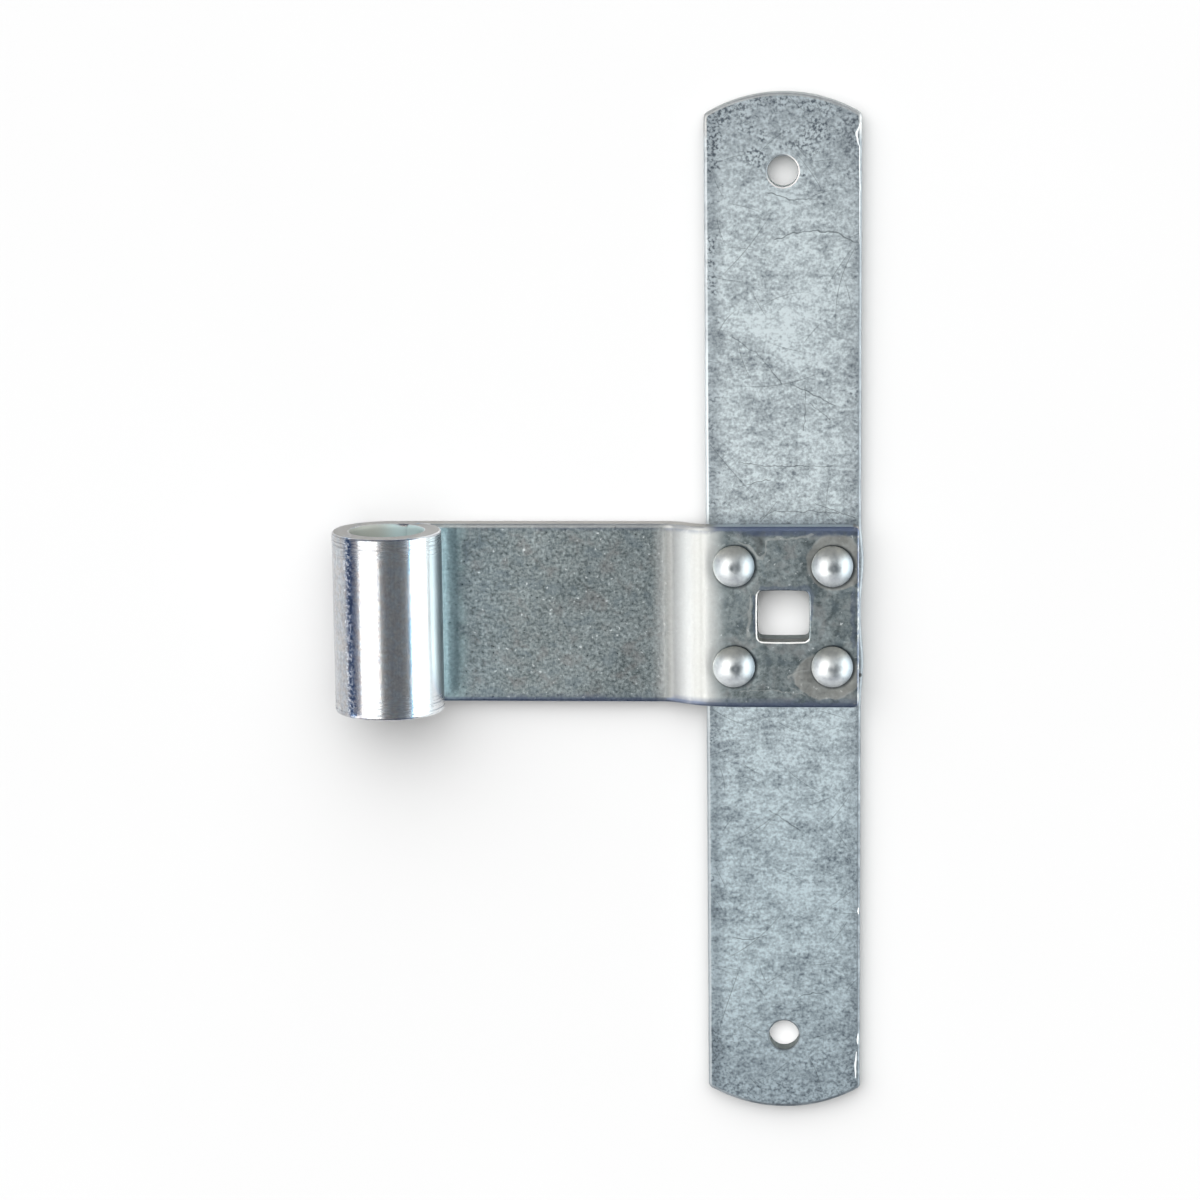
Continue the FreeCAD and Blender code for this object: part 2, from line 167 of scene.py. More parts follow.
def makeZincGrain():
    group, given, result = newGroup(
        "zincGrain",
        [("Point", "Vector", None), ("Grain Size", "Float", 0.4), ("Cloud Size", "Float", 8.0)],
        ["Grain", "Cloud", "Crystal"])
    grain = addNode(group, "TexNoise", {"Vector": given["Point"], "Detail": 3.0, "Roughness": 0.62,
                                        "Scale": scaleFor(group, given["Grain Size"])})
    cloud = addNode(group, "TexNoise", {"Vector": given["Point"], "Detail": 4.0, "Roughness": 0.6,
                                        "Distortion": 0.4, "Scale": scaleFor(group, given["Cloud Size"])})
    crystal = addNode(group, "TexVoronoi", {"Vector": given["Point"],
                                            "Scale": scaleFor(group, given["Grain Size"], 1.6)})
    shade = addNode(group, "SeparateColor", {"Color": crystal.outputs["Color"]})
    feed(group, result["Grain"], remap(group, grain.outputs["Fac"], 0.28, 0.72, kind="LINEAR"))
    feed(group, result["Cloud"], remap(group, cloud.outputs["Fac"], 0.3, 0.7, kind="LINEAR"))
    feed(group, result["Crystal"], shade.outputs[0])
    return group


# One short, slightly bent line at a random slant in each cell of a loose pattern
def makeFineScratches():
    group, given, result = newGroup(
        "fineScratches",
        [("Point", "Vector", None), ("Cell Size", "Float", 10.0), ("Width", "Float", 0.08),
         ("Cover", "Float", 0.6), ("Slant", "Float", 0.0), ("Spread", "Float", 1.0),
         ("Seed", "Float", 0.0)],
        ["Mask"])
    seeded = vectorCalc(group, "ADD", given["Point"], given["Seed"])
    scaled = scaleVector(group, seeded, scaleFor(group, given["Cell Size"]))
    cells = addNode(group, "TexVoronoi", {"Vector": scaled, "Scale": 1.0}, voronoi_dimensions="2D")
    away = vectorCalc(group, "SUBTRACT", scaled, cells.outputs["Position"])
    chance = addNode(group, "SeparateColor", {"Color": cells.outputs["Color"]})
    slant = times(group, minus(group, chance.outputs[0], 0.5), math.pi)
    slant = plus(group, given["Slant"], times(group, slant, given["Spread"]))
    turned = addNode(group, "VectorRotate", {"Vector": away, "Angle": slant}, rotation_type="Z_AXIS")
    along, aside = addNode(group, "SeparateXYZ", {0: turned.outputs[0]}).outputs[:2]
    bend = times(group, minus(group, chance.outputs[1], 0.5), 0.9)
    arch = times(group, bend, times(group, along, along))
    off = calc(group, "ABSOLUTE", plus(group, aside, arch))
    width = calc(group, "DIVIDE", given["Width"], given["Cell Size"])
    line = remap(group, off, width, 0.0)
    taper = remap(group, calc(group, "ABSOLUTE", along), 0.5, 0.1)
    kept = calc(group, "LESS_THAN", chance.outputs[2], given["Cover"])
    feed(group, result["Mask"], times(group, line, taper, kept))
    return group


# A dried patch round a point, with the pale line that is left at its border
def makeStainPatch():
    group, given, result = newGroup(
        "stainPatch",
        [("Point", "Vector", None), ("Centre", "Vector", None), ("Radius", "Float", 4.0),
         ("Stretch", "Vector", (1.0, 1.0, 0.0)), ("Ripple", "Float", 1.0)],
        ["Inside", "Outline"])
    away = vectorCalc(group, "SUBTRACT", given["Point"], given["Centre"])
    length = vectorCalc(group, "LENGTH", vectorCalc(group, "MULTIPLY", away, given["Stretch"]))
    wobble = addNode(group, "TexNoise", {"Vector": given["Point"], "Scale": 0.45, "Detail": 2.0})
    ripple = times(group, minus(group, wobble.outputs["Fac"], 0.5), given["Ripple"])
    reach = minus(group, plus(group, length, ripple), given["Radius"])
    feed(group, result["Inside"], remap(group, reach, 0.15, -0.15))
    feed(group, result["Outline"], remap(group, calc(group, "ABSOLUTE", reach), 0.34, 0.05))
    return group


# One short straight mark on a flat face, wide at one end and narrow at the other if need be
def makeDrawnLine():
    group, given, result = newGroup(
        "drawnLine",
        [("Point", "Vector", None), ("From", "Vector", None), ("To", "Vector", None),
         ("Start Width", "Float", 0.2), ("End Width", "Float", 0.2)],
        ["Mask"])
    along = vectorCalc(group, "SUBTRACT", given["To"], given["From"])
    away = vectorCalc(group, "SUBTRACT", given["Point"], given["From"])
    reached = vectorCalc(group, "DOT_PRODUCT", away, along)
    whole = vectorCalc(group, "DOT_PRODUCT", along, along)
    share = calc(group, "DIVIDE", reached, whole, clamp=True)
    off = vectorCalc(group, "DISTANCE", away, scaleVector(group, along, share))
    width = mixValue(group, share, given["Start Width"], given["End Width"])
    feed(group, result["Mask"], remap(group, off, width, times(group, width, 0.3)))
    return group


# Where handling has rubbed the sheared edges bright
def makeEdgeRub():
    group, given, result = newGroup(
        "edgeRub",
        [("Point", "Vector", None), ("Patch Size", "Float", 1.5), ("Cover", "Float", 0.5)],
        ["Rim", "Rub", "Cut"])
    rim = addNode(group, "Attribute", attribute_name="rim")
    cut = addNode(group, "Attribute", attribute_name="cutFace")
    patches = addNode(group, "TexNoise", {"Vector": given["Point"], "Detail": 3.0,
                                          "Scale": scaleFor(group, given["Patch Size"])})
    kept = remap(group, patches.outputs["Fac"], minus(group, 0.95, given["Cover"]),
                 minus(group, 1.1, given["Cover"]))
    feed(group, result["Rim"], rim.outputs["Fac"])
    feed(group, result["Rub"], times(group, rim.outputs["Fac"], kept))
    feed(group, result["Cut"], cut.outputs["Fac"])
    return group


zincGrain = makeZincGrain()
fineScratches = makeFineScratches()
stainPatch = makeStainPatch()
drawnLine = makeDrawnLine()
edgeRub = makeEdgeRub()
print("shared zinc effects ready")


# The point laid flat and shifted a little, so that what is drawn on a face wanders
def wanderOnFace(tree, point, amount):
    drift = addNode(tree, "TexNoise", {"Vector": point, "Scale": 0.7, "Detail": 1.5})
    centred = vectorCalc(tree, "SUBTRACT", drift.outputs["Color"], (0.5, 0.5, 0.5))
    moved = vectorCalc(tree, "MULTIPLY_ADD", centred, (amount, amount, 0), point)
    return vectorCalc(tree, "MULTIPLY", moved, (1, 1, 0))


# How far away the nearest of four places is that mirror each other across both axes of the face
def foldedDistance(tree, point, place):
    folded = vectorCalc(tree, "ABSOLUTE", point)
    return vectorCalc(tree, "DISTANCE", vectorCalc(tree, "MULTIPLY", folded, (1, 1, 0)), place)


# Each mark is a place on the face and the line's half width there
def drawLines(tree, point, lines):
    mask = 0.0
    for marks in lines:
        for (x1, y1, width1), (x2, y2, width2) in zip(marks, marks[1:]):
            line = placeGroup(tree, drawnLine, point, (x1, y1, 0), (x2, y2, 0), width1, width2)
            mask = calc(tree, "MAXIMUM", mask, line["Mask"])
    return mask


# Bar stock: a flat outline with holes, given thickness and rolled-over edges, then put in place

def arcPoints(centre, radius, first, last, count):
    angles = [math.radians(first + (last - first) * i / count) for i in range(count + 1)]
    return [Vector((centre[0] + radius * math.cos(a), centre[1] + radius * math.sin(a))) for a in angles]


def closedLoop(points, spacing=0.5):
    loop = []
    for i, point in enumerate(points):
        following = points[(i + 1) % len(points)]
        pieces = max(1, math.ceil((following - point).length / spacing))
        if (following - point).length > 0.01:
            loop += [point.lerp(following, k / pieces) for k in range(pieces)]
    return loop


def insetLoop(loop, distance, spread=(1.0, 1.0)):
    moved = []
    for i, point in enumerate(loop):
        before = (point - loop[i - 1]).normalized()
        after = (loop[(i + 1) % len(loop)] - point).normalized()
        left = Vector((-before.y - after.y, before.x + after.x)) / (1 + max(before.dot(after), 0))
        moved.append(point + Vector((left.x * spread[0], left.y * spread[1])) * distance)
    return moved


# From the front face round to the back: distance in from the outline, and height over mid stock
def rimProfile(half, front, back, backSteps=3):
    turns = [math.pi / 2 * i / 5 for i in range(6)]
    rings = [(front[0] * (1 - math.sin(a)), half - front[1] * (1 - math.cos(a))) for a in turns]
    rings += [(0.0, half - front[1] - 0.3), (0.0, 0.0), (0.0, back[1] + 0.3 - half)]
    turns = [math.pi / 2 * i / backSteps for i in range(backSteps + 1)]
    rings += [(back[0] * (1 - math.cos(a)), back[1] * (1 - math.sin(a)) - half) for a in turns]
    return rings


def isInside(points, loops):
    inside = np.zeros(len(points), bool)
    for loop in loops:
        for start, end in zip(loop, loop[1:] + loop[:1]):
            if start.y != end.y:
                spans = (start.y > points[:, 1]) != (end.y > points[:, 1])
                crossing = start.x + (points[:, 1] - start.y) * (end.x - start.x) / (end.y - start.y)
                inside ^= spans & (points[:, 0] < crossing)
    return inside


def innerGrid(across, along, loops, clearance):
    grid = np.array([(u, v) for u in across for v in along])
    grid = grid[isInside(grid, loops)]
    edge = np.array([tuple(point) for loop in loops for point in loop])
    nearest = np.array([np.min(np.sum((edge - point) ** 2, axis=1)) for point in grid])
    return [Vector(point) for point in grid[nearest > clearance ** 2]]


def coverFace(bm, loops, rings, grid, place, level, flip):
    points = [point for loop in loops for point in loop] + grid
    verts = [vert for ring in rings for vert in ring]
    verts += [bm.verts.new(place(point.x, point.y, level)) for point in grid]
    edges, start = [], 0
    for loop in loops:
        edges += [(start + i, start + (i + 1) % len(loop)) for i in range(len(loop))]
        start += len(loop)
    made = geometry.delaunay_2d_cdt(points, edges, [], 0, 1e-6)
    corners = [made[3][i][0] if made[3][i] else None for i in range(len(made[0]))]
    middles = np.array([tuple(sum((made[0][i] for i in face), Vector((0, 0))) / 3) for face in made[2]])
    for face, inside in zip(made[2], isInside(middles, loops)):
        if inside and None not in [corners[i] for i in face]:
            order = [verts[corners[i]] for i in face]
            bm.faces.new(order[::-1] if flip else order)


def finishMesh(bm, name, material):
    for face in bm.faces:
        face.smooth = True
    bmesh.ops.scale(bm, vec=(mm, mm, mm), verts=bm.verts)
    mesh = bpy.data.meshes.new(name)
    bm.to_mesh(mesh)
    bm.free()
    mesh.materials.append(material)
    piece = bpy.data.objects.new(name, mesh)
    bpy.context.scene.collection.objects.link(piece)
    return piece


def buildBar(name, contours, across, along, place, half, material, spread=(1.0, 1.0)):
    bm = bmesh.new()
    rimLayer = bm.verts.layers.float.new("rim")
    cutLayer = bm.verts.layers.float.new("cutFace")
    frontLoops, backLoops, frontRings, backRings = [], [], [], []
    for number, (loop, profile) in enumerate(contours):
        rings = []
        for inset, level in profile:
            moved = insetLoop(loop, inset, spread if number == 0 else (1.0, 1.0))
            ring = [bm.verts.new(place(point.x, point.y, level)) for point in moved]
            onWall = abs(level) < half - 1e-6 and inset < 1e-6
            for vert in ring:
                vert[rimLayer] = 0.0 if abs(level) > half - 1e-6 else 1.0
                vert[cutLayer] = 1.0 if onWall else 0.0
            rings.append((moved, ring))
        for (_, upper), (_, lower) in zip(rings, rings[1:]):
            for i in range(len(loop)):
                j = (i + 1) % len(loop)
                bm.faces.new((upper[i], lower[i], lower[j], upper[j]))
        frontLoops.append(rings[0][0])
        frontRings.append(rings[0][1])
        backLoops.append(rings[-1][0])
        backRings.append(rings[-1][1])
    coverFace(bm, frontLoops, frontRings, innerGrid(across, along, frontLoops, 0.3), place, half, False)
    coverFace(bm, backLoops, backRings, innerGrid(across, along, backLoops, 0.3), place, -half, True)
    # Slivers along a straight end are left out by the fill, so the mesh is closed here
    bmesh.ops.holes_fill(bm, edges=[edge for edge in bm.edges if edge.is_boundary], sides=3)
    piece = finishMesh(bm, name, material)
    evened = piece.modifiers.new("evenNormals", "WEIGHTED_NORMAL")
    evened.keep_sharp = True
    return piece


def stations(first, last, spacing):
    count = max(1, round((last - first) / spacing))
    return [first + (last - first) * (i + 0.5) / count for i in range(count)]


# A square punched hole with slightly bowed sides, clockwise so that the stock lies on its left
def squareLoop(x, y, side, bow, corner):
    half = side / 2
    points = []
    for turn in (0, 90, 180, 270):
        spin = math.radians(turn)
        steps = np.linspace(corner - half, half - corner, 14)
        edge = [(half + bow * (1 - (v / half) ** 2), v) for v in steps]
        rounded = arcPoints((half - corner, half - corner), corner, 0, 90, 6)[1:-1]
        for u, v in edge + [tuple(point) for point in rounded]:
            points.append(Vector((x + u * math.cos(spin) - v * math.sin(spin),
                                  y + u * math.sin(spin) + v * math.cos(spin))))
    return closedLoop(points[::-1], 0.4)


def roundLoop(x, y, radius, count=48):
    return arcPoints((x, y), radius, 360, 0, count)[:-1]


# Zinc finishes

strapFinish = {
    "light": (0.8, 0.87, 0.89, 1), "dark": (0.18, 0.21, 0.24, 1), "scratch": (0.1, 0.12, 0.13, 1),
    "cut": (0.42, 0.47, 0.46, 1), "edge": (0.34, 0.37, 0.39, 1), "paleEdge": (0.5, 0.54, 0.56, 1),
    "leftEdgeHighlight": (0.78, 0.82, 0.83, 1), "topEdge": (0.72, 0.72, 0.7, 1), "lip": (0.95, 0.91, 0.88, 1),
    "nick": (0.04, 0.035, 0.03, 1), "holeWallShade": (0.17, 0.2, 0.19, 1), "lowEdge": (0.62, 0.63, 0.64, 1),
    "lowShade": (0.86, 0.905, 0.93, 1), "endShade": (0.75, 0.76, 0.78, 1), "grain": 0.5, "cloud": 9.0,
    "sideShade": (0.87, 0.87, 0.88, 1), "leftShade": (0.81, 0.82, 0.83, 1),
    "leftGlint": (0.9, 0.95, 0.96, 1), "glint": (0.98, 1.0, 1.0, 1), "roughness": (0.5, 0.64),
    "sides": (52.7, 78.5), "square": (65.6, 0.0, -7.6), "lowScrew": (65.6, -73.5, -7.6),
    "topScrew": (65.3, 73.8, -6.1), "nickPlace": (78.3, -10.6, 0),
    "scratches": ((7.0, 0.1, 0.5, 0.3, 0.8, 0.0), (12.0, 0.09, 0.6, 1.2, 1.0, 31.0),
                  (19.0, 0.12, 0.55, -0.2, 0.7, 77.0)),
    "hairs": (
        ((64.4, 62.4, 0.1), (67.0, 63.3, 0.15), (69.5, 63.8, 0.1), (74.1, 63.5, 0.2), (78.2, 61.7, 0.12)),
        ((61.8, 16.1, 0.06), (64.1, 17.1, 0.12), (69.9, 17.2, 0.08), (74.8, 16.9, 0.12)),
        ((63.1, 70.2, 0.08), (66.7, 68.9, 0.14), (70.9, 68.9, 0.06)),
        ((56.8, -56.5, 0.06), (59.8, -56.6, 0.13), (62.8, -55.8, 0.06)),
        ((67.9, -67.0, 0.06), (69.2, -66.2, 0.14), (72.5, -65.9, 0.07)),
        ((66.9, 38.6, 0.06), (70.1, 37.0, 0.16), (74.2, 34.8, 0.08)),
        ((70.0, 35.4, 0.06), (73.4, 32.6, 0.12)),
        ((69.3, 38.2, 0.05), (69.0, 30.6, 0.1)),
        ((58.1, 25.5, 0.06), (63.0, 24.8, 0.12), (73.6, 24.7, 0.07)),
        ((57.7, 21.2, 0.07), (63.5, 22.6, 0.1)),
        ((71.0, 18.5, 0.06), (77.5, 16.1, 0.1)),
        ((57.3, 46.3, 0.12), (61.9, 43.1, 0.06), (65.5, 38.5, 0.12)),
        ((63.1, -34.0, 0.07), (68.4, -37.5, 0.13)),
    ),
    "glints": (
        ((78.2, 81.2, 0.1), (77.6, 79.6, 0.28), (77.8, 78.4, 0.2), (78.1, 77.4, 0.1),
         (78.15, 70.0, 0.08), (78.1, 61.6, 0.03)),
        ((77.95, -76.4, 0.1), (77.75, -78.6, 0.26), (77.8, -81.0, 0.12)),
        ((78.2, -73.2, 0.08), (78.1, -74.2, 0.22), (78.15, -75.0, 0.08)),
        ((78.2, -51.0, 0.1), (78.1, -51.5, 0.2), (78.2, -52.0, 0.08)),
    ),
}


def makeStrapZinc():
    material, tree, shader = newMaterial("strapZinc")
    point = pointInMm(tree)
    x, y, z = addNode(tree, "SeparateXYZ", {0: point}).outputs
    zinc = placeGroup(tree, zincGrain, point, strapFinish["grain"], strapFinish["cloud"])
    stretched = vectorCalc(tree, "MULTIPLY", point, (0.75, 1.2, 1.0))
    smear = placeGroup(tree, zincGrain, stretched, 1.2, 4.0)
    endDark = remap(tree, calc(tree, "ABSOLUTE", y), 60.0, 88.0)
    left, right = strapFinish["sides"]
    fromSide = calc(tree, "MINIMUM", minus(tree, right, x), minus(tree, x, left))
    sideDark = remap(tree, fromSide, 4.0, 0.5)
    tone = layerTones(tree, ((zinc["Grain"], 0.72), (smear["Grain"], 0.6), (zinc["Cloud"], 0.4),
                             (smear["Cloud"], 0.4)), 0.66)
    peppered = layerTones(tree, ((smear["Cloud"], 1.0), (endDark, 0.75), (sideDark, 0.4)), 0.56)
    upperRight = times(tree, remap(tree, x, 70.0, 75.0, 0.0, 0.6), remap(tree, y, 55.0, 70.0))
    pepper = times(tree, remap(tree, peppered, 0.4, 0.85), remap(tree, zinc["Grain"], 0.65, 0.25),
                   remap(tree, y, -45.0, 10.0, 0.4, 1.0), minus(tree, 1.0, upperRight))
    tone = minus(tree, tone, times(tree, pepper, 0.62), clamp=True)
    colour = mixColour(tree, tone, strapFinish["dark"], strapFinish["light"])
    colour = shadeBy(tree, remap(tree, y, 20.0, -50.0), colour, strapFinish["lowShade"])
    colour = shadeBy(tree, endDark, colour, strapFinish["endShade"])
    colour = shadeBy(tree, sideDark, colour, strapFinish["sideShade"])
    colour = shadeBy(tree, remap(tree, x, 56.0, 54.0), colour, strapFinish["leftShade"])

    onFace = wanderOnFace(tree, point, 0.9)
    onFront = remap(tree, z, -7.2, -6.6)
    hairs = times(tree, drawLines(tree, onFace, strapFinish["hairs"]), onFront)
    scratches = 0.0
    for pattern in strapFinish["scratches"]:
        lines = placeGroup(tree, fineScratches, point, *pattern)
        scratches = calc(tree, "MAXIMUM", scratches, lines["Mask"])
    colour = tint(tree, colour, scratches, 0.55, strapFinish["scratch"])
    colour = tint(tree, colour, hairs, 0.65, strapFinish["scratch"])

    rub = placeGroup(tree, edgeRub, point, 3.0, 0.5)
    # Sheared edges: a painted highlight makes the left edge paler, and the edges get darker towards the
    # bottom; rubbed patches and the top end are paler.
    onLeft = remap(tree, x, 62.0, 56.0)
    edge = mixColour(tree, onLeft, strapFinish["edge"], strapFinish["leftEdgeHighlight"])
    edge = shadeBy(tree, remap(tree, y, 0.0, -30.0), edge, strapFinish["lowEdge"])
    edge = tint(tree, edge, rub["Rub"], 0.4, strapFinish["paleEdge"])
    edge = mixColour(tree, remap(tree, y, 78.0, 80.5), edge, strapFinish["topEdge"])
    colour = tint(tree, colour, rub["Rim"], 0.8, edge)
    # Painted shade: the walls of the square hole and the lower screw hole are darker than the other cut
    # faces.
    inSquare = remap(tree, vectorCalc(tree, "DISTANCE", point, strapFinish["square"]), 7.5, 7.0)
    inLowScrew = remap(tree, vectorCalc(tree, "DISTANCE", point, strapFinish["lowScrew"]), 4.2, 3.8)
    inHole = calc(tree, "MAXIMUM", inSquare, inLowScrew)
    cut = mixColour(tree, inHole, strapFinish["cut"], strapFinish["holeWallShade"])
    colour = tint(tree, colour, rub["Cut"], 0.85, cut)
    # Painted highlight: a pale rim round the top screw hole.
    fromScrew = vectorCalc(tree, "DISTANCE", point, strapFinish["topScrew"])
    onlyRim = minus(tree, rub["Rim"], rub["Cut"], clamp=True)
    lip = times(tree, onlyRim, remap(tree, fromScrew, 3.4, 3.2), remap(tree, fromScrew, 2.4, 2.7))
    colour = tint(tree, colour, lip, 0.8, strapFinish["lip"])
    # Painted highlights: a bright run along the left edge and glint lines down the right edge.
    leftGlint = times(tree, remap(tree, y, 12.0, 17.0), remap(tree, y, 47.0, 43.0), onLeft, onlyRim)
    drawn = drawLines(tree, wanderOnFace(tree, point, 0.15), strapFinish["glints"])
    drawn = times(tree, drawn, onFront)
    colour = tint(tree, colour, leftGlint, 0.7, strapFinish["leftGlint"])
    colour = tint(tree, colour, drawn, 0.9, strapFinish["glint"])
    fromNick = vectorCalc(tree, "DISTANCE", onFace, strapFinish["nickPlace"])
    nick = times(tree, remap(tree, fromNick, 0.5, 0.15, 0.0, 0.85), onFront)
    colour = mixColour(tree, nick, colour, strapFinish["nick"])
    feed(tree, shader.inputs["Base Color"], colour)
    # The painted highlights and the pale rim are less metallic, so the soft daylight makes them come out
    # white.
    bright = plus(tree, times(tree, drawn, 0.45), times(tree, lip, 0.2))
    feed(tree, shader.inputs["Metallic"], minus(tree, 1.0, bright))
    rough = mixValue(tree, zinc["Grain"], *strapFinish["roughness"])
    feed(tree, shader.inputs["Roughness"], mixValue(tree, rub["Rim"], rough, 0.6))
    height = minus(tree, plus(tree, zinc["Grain"], smear["Grain"]), scratches)
    addBump(tree, shader, height, 0.6, 0.012)
    return material


armFinish = {
    "light": (0.6, 0.67, 0.68, 1), "dark": (0.19, 0.225, 0.23, 1), "brown": (0.36, 0.33, 0.32, 1),
    "bluish": (0.24, 0.3, 0.34, 1), "eyeReflection": (0.62, 0.79, 0.81, 1), "joggleHighlight": (0.97, 0.97, 0.94, 1),
    "plateShade": (0.83, 0.835, 0.84, 1), "navy": (0.13, 0.165, 0.255, 1), "grimeAndShade": (0.05, 0.06, 0.07, 1),
    "halo": (0.56, 0.535, 0.49, 1), "blob": (0.14, 0.15, 0.15, 1), "tide": (0.62, 0.63, 0.61, 1),
    "eyeLight": (0.74, 0.77, 0.79, 1), "eyeDark": (0.44, 0.45, 0.5, 1), "bore": (0.39, 0.49, 0.49, 1),
    "boreShade": (0.4, 0.415, 0.375, 1), "endCut": (0.36, 0.35, 0.33, 1), "sideCut": (0.42, 0.4, 0.37, 1),
    "plateCut": (0.8, 0.86, 0.88, 1), "holeWallShade": (0.09, 0.097, 0.08, 1), "paleEdge": (0.5, 0.5, 0.48, 1),
    "lip": (0.93, 0.92, 0.88, 1), "slopeShade": (0.25, 0.25, 0.245, 1), "eyeHighlight": (0.94, 0.98, 1.0, 1),
    "speckle": (0.85, 0.87, 0.9, 1), "eyeReflectionDark": (0.35, 0.5, 0.53, 1), "grain": 0.55, "cloud": 7.0,
    "eyeWarm": (1.0, 0.93, 0.88, 1), "eyeLeftShade": (0.8, 0.82, 0.83, 1), "blueBandReflection": (0.55, 0.72, 0.95, 1),
    "bandReflectionSpots": (0.45, 0.5, 0.6, 1), "blueLineReflection": (0.5, 0.78, 1.0, 1), "ringShade": (0.6, 0.61, 0.63, 1),
    "specks": (0.9, 0.94, 0.94, 1), "shadeBesideEye": (0.84, 0.88, 0.91, 1), "hole": (65.6, 0, -3.1),
    "blobLine": ((61.6, 14.6, 0), (61.8, 10.5, 0), 2.1, 0.7),
    "halos": (
        ((74.3, 9.1, 0), 4.7, (1.0, 1.0, 0), 1.3),
        ((73.0, -10.2, 0), 4.4, (0.8, 1.15, 0), 1.5),
    ),
    "tideLines": (
        ((58.2, 12.6, 0.25), (60.3, 11.5, 0.32), (61.3, 9.9, 0.5), (62.0, 9.7, 0.45), (62.7, 10.7, 0.2),
         (62.9, 12.9, 0.25), (64.6, 13.3, 0.35), (66.5, 13.0, 0.2), (68.8, 13.5, 0.3), (70.4, 13.8, 0.35)),
        ((66.4, -10.4, 0.3), (67.8, -9.4, 0.18), (69.7, -9.2, 0.15)),
        ((60.3, 3.7, 0.2), (60.15, 0.8, 0.35), (59.7, -3.2, 0.5)),
    ),
    "faintLines": (
        ((58.2, -12.7, 0.08), (65.0, -12.6, 0.14), (65.3, -13.1, 0.1), (69.2, -13.1, 0.14)),
        ((66.4, -11.8, 0.06), (69.2, -13.4, 0.16)),
    ),
    "navyLines": (
        ((61.8, 4.8, 0.4), (65.1, 4.7, 0.5), (69.6, 4.7, 0.8), (70.4, 3.4, 0.5), (70.3, -0.5, 0.2)),
        ((77.3, 4.6, 0.4), (77.2, 0.8, 0.7), (77.3, -4.9, 0.4)),
        ((60.95, 3.4, 0.3), (60.85, 0.8, 0.5), (60.95, -2.8, 0.4)),
    ),
}


# Mirror-smooth zinc on the rolled eye, with lines round it where the mandrel turned, and with painted
# reflection bands, a painted highlight and painted shade
def addEyeZinc(tree, point, zinc, clump, fromAxis):
    x, y, z = addNode(tree, "SeparateXYZ", {0: point}).outputs
    drawn = vectorCalc(tree, "MULTIPLY", point, (1.0, 0.1, 1.0))
    lines = placeGroup(tree, zincGrain, drawn, 0.4, 2.0)
    rings = addNode(tree, "TexNoise", {"W": y, "Scale": 2.6, "Detail": 3.0}, noise_dimensions="1D")
    fromMiddle = calc(tree, "ABSOLUTE", y)
    nearEnd = times(tree, remap(tree, fromMiddle, 10.8, 12.4), remap(tree, zinc["Cloud"], 0.2, 0.6))
    ringMask = times(tree, remap(tree, rings.outputs["Fac"], 0.5, 0.66), nearEnd)
    tone = layerTones(tree, ((lines["Grain"], 0.6), (lines["Cloud"], 0.4), (zinc["Grain"], 0.8),
                             (zinc["Crystal"], 0.25)), 0.55)
    colour = mixColour(tree, tone, armFinish["eyeDark"], armFinish["eyeLight"])
    colour = shadeBy(tree, remap(tree, clump["Grain"], 0.3, 0.7), colour, armFinish["eyeWarm"])
    # Painted highlight along the eye's right side.
    colour = tint(tree, colour, remap(tree, x, 5.4, 6.3), 0.8, armFinish["eyeHighlight"])
    # Painted shade on the eye's left side, dimming its reflection there.
    colour = shadeBy(tree, remap(tree, x, -5.8, -6.6), colour, armFinish["eyeLeftShade"])
    # Painted reflection: a ragged dark blue band along the eye, with dark spots and pale specks in it.
    ragged = plus(tree, x, times(tree, zinc["Grain"], 1.2))
    reflectedBand = times(tree, remap(tree, ragged, -5.8, -5.2), remap(tree, ragged, -4.1, -4.6))
    colour = shadeBy(tree, reflectedBand, colour, armFinish["blueBandReflection"])
    spots = times(tree, reflectedBand, remap(tree, zinc["Grain"], 0.48, 0.34))
    colour = shadeBy(tree, spots, colour, armFinish["bandReflectionSpots"])
    speckle = times(tree, reflectedBand, remap(tree, zinc["Grain"], 0.52, 0.64))
    colour = mixColour(tree, speckle, colour, armFinish["speckle"])
    # Painted reflection: a thin blue line along the eye.
    blueLineReflection = times(tree, remap(tree, x, 4.0, 4.5), remap(tree, x, 5.0, 4.7),
                     remap(tree, lines["Grain"], 0.25, 0.55), 0.8)
    colour = shadeBy(tree, blueLineReflection, colour, armFinish["blueLineReflection"])
    colour = shadeBy(tree, ringMask, colour, armFinish["ringShade"])
    inSeam = times(tree, remap(tree, fromAxis, 8.6, 8.2), remap(tree, z, -4.6, -4.9),
                   remap(tree, x, 1.0, 1.5), remap(tree, fromMiddle, 14.7, 14.5))
    inBore = calc(tree, "MAXIMUM", remap(tree, fromAxis, 6.5, 6.2), inSeam)
    # Painted shade inside the bore, darker towards its left side.
    bore = mixColour(tree, remap(tree, x, 1.5, -3.0), armFinish["bore"], armFinish["boreShade"])
    colour = mixColour(tree, inBore, colour, bore)
    rough = mixValue(tree, ringMask, mixValue(tree, tone, 0.27, 0.19), 0.36)
    rough = mixValue(tree, inBore, rough, 0.6)
    matt = plus(tree, times(tree, inBore, 0.45), times(tree, speckle, 0.2))
    return colour, rough, tone, matt
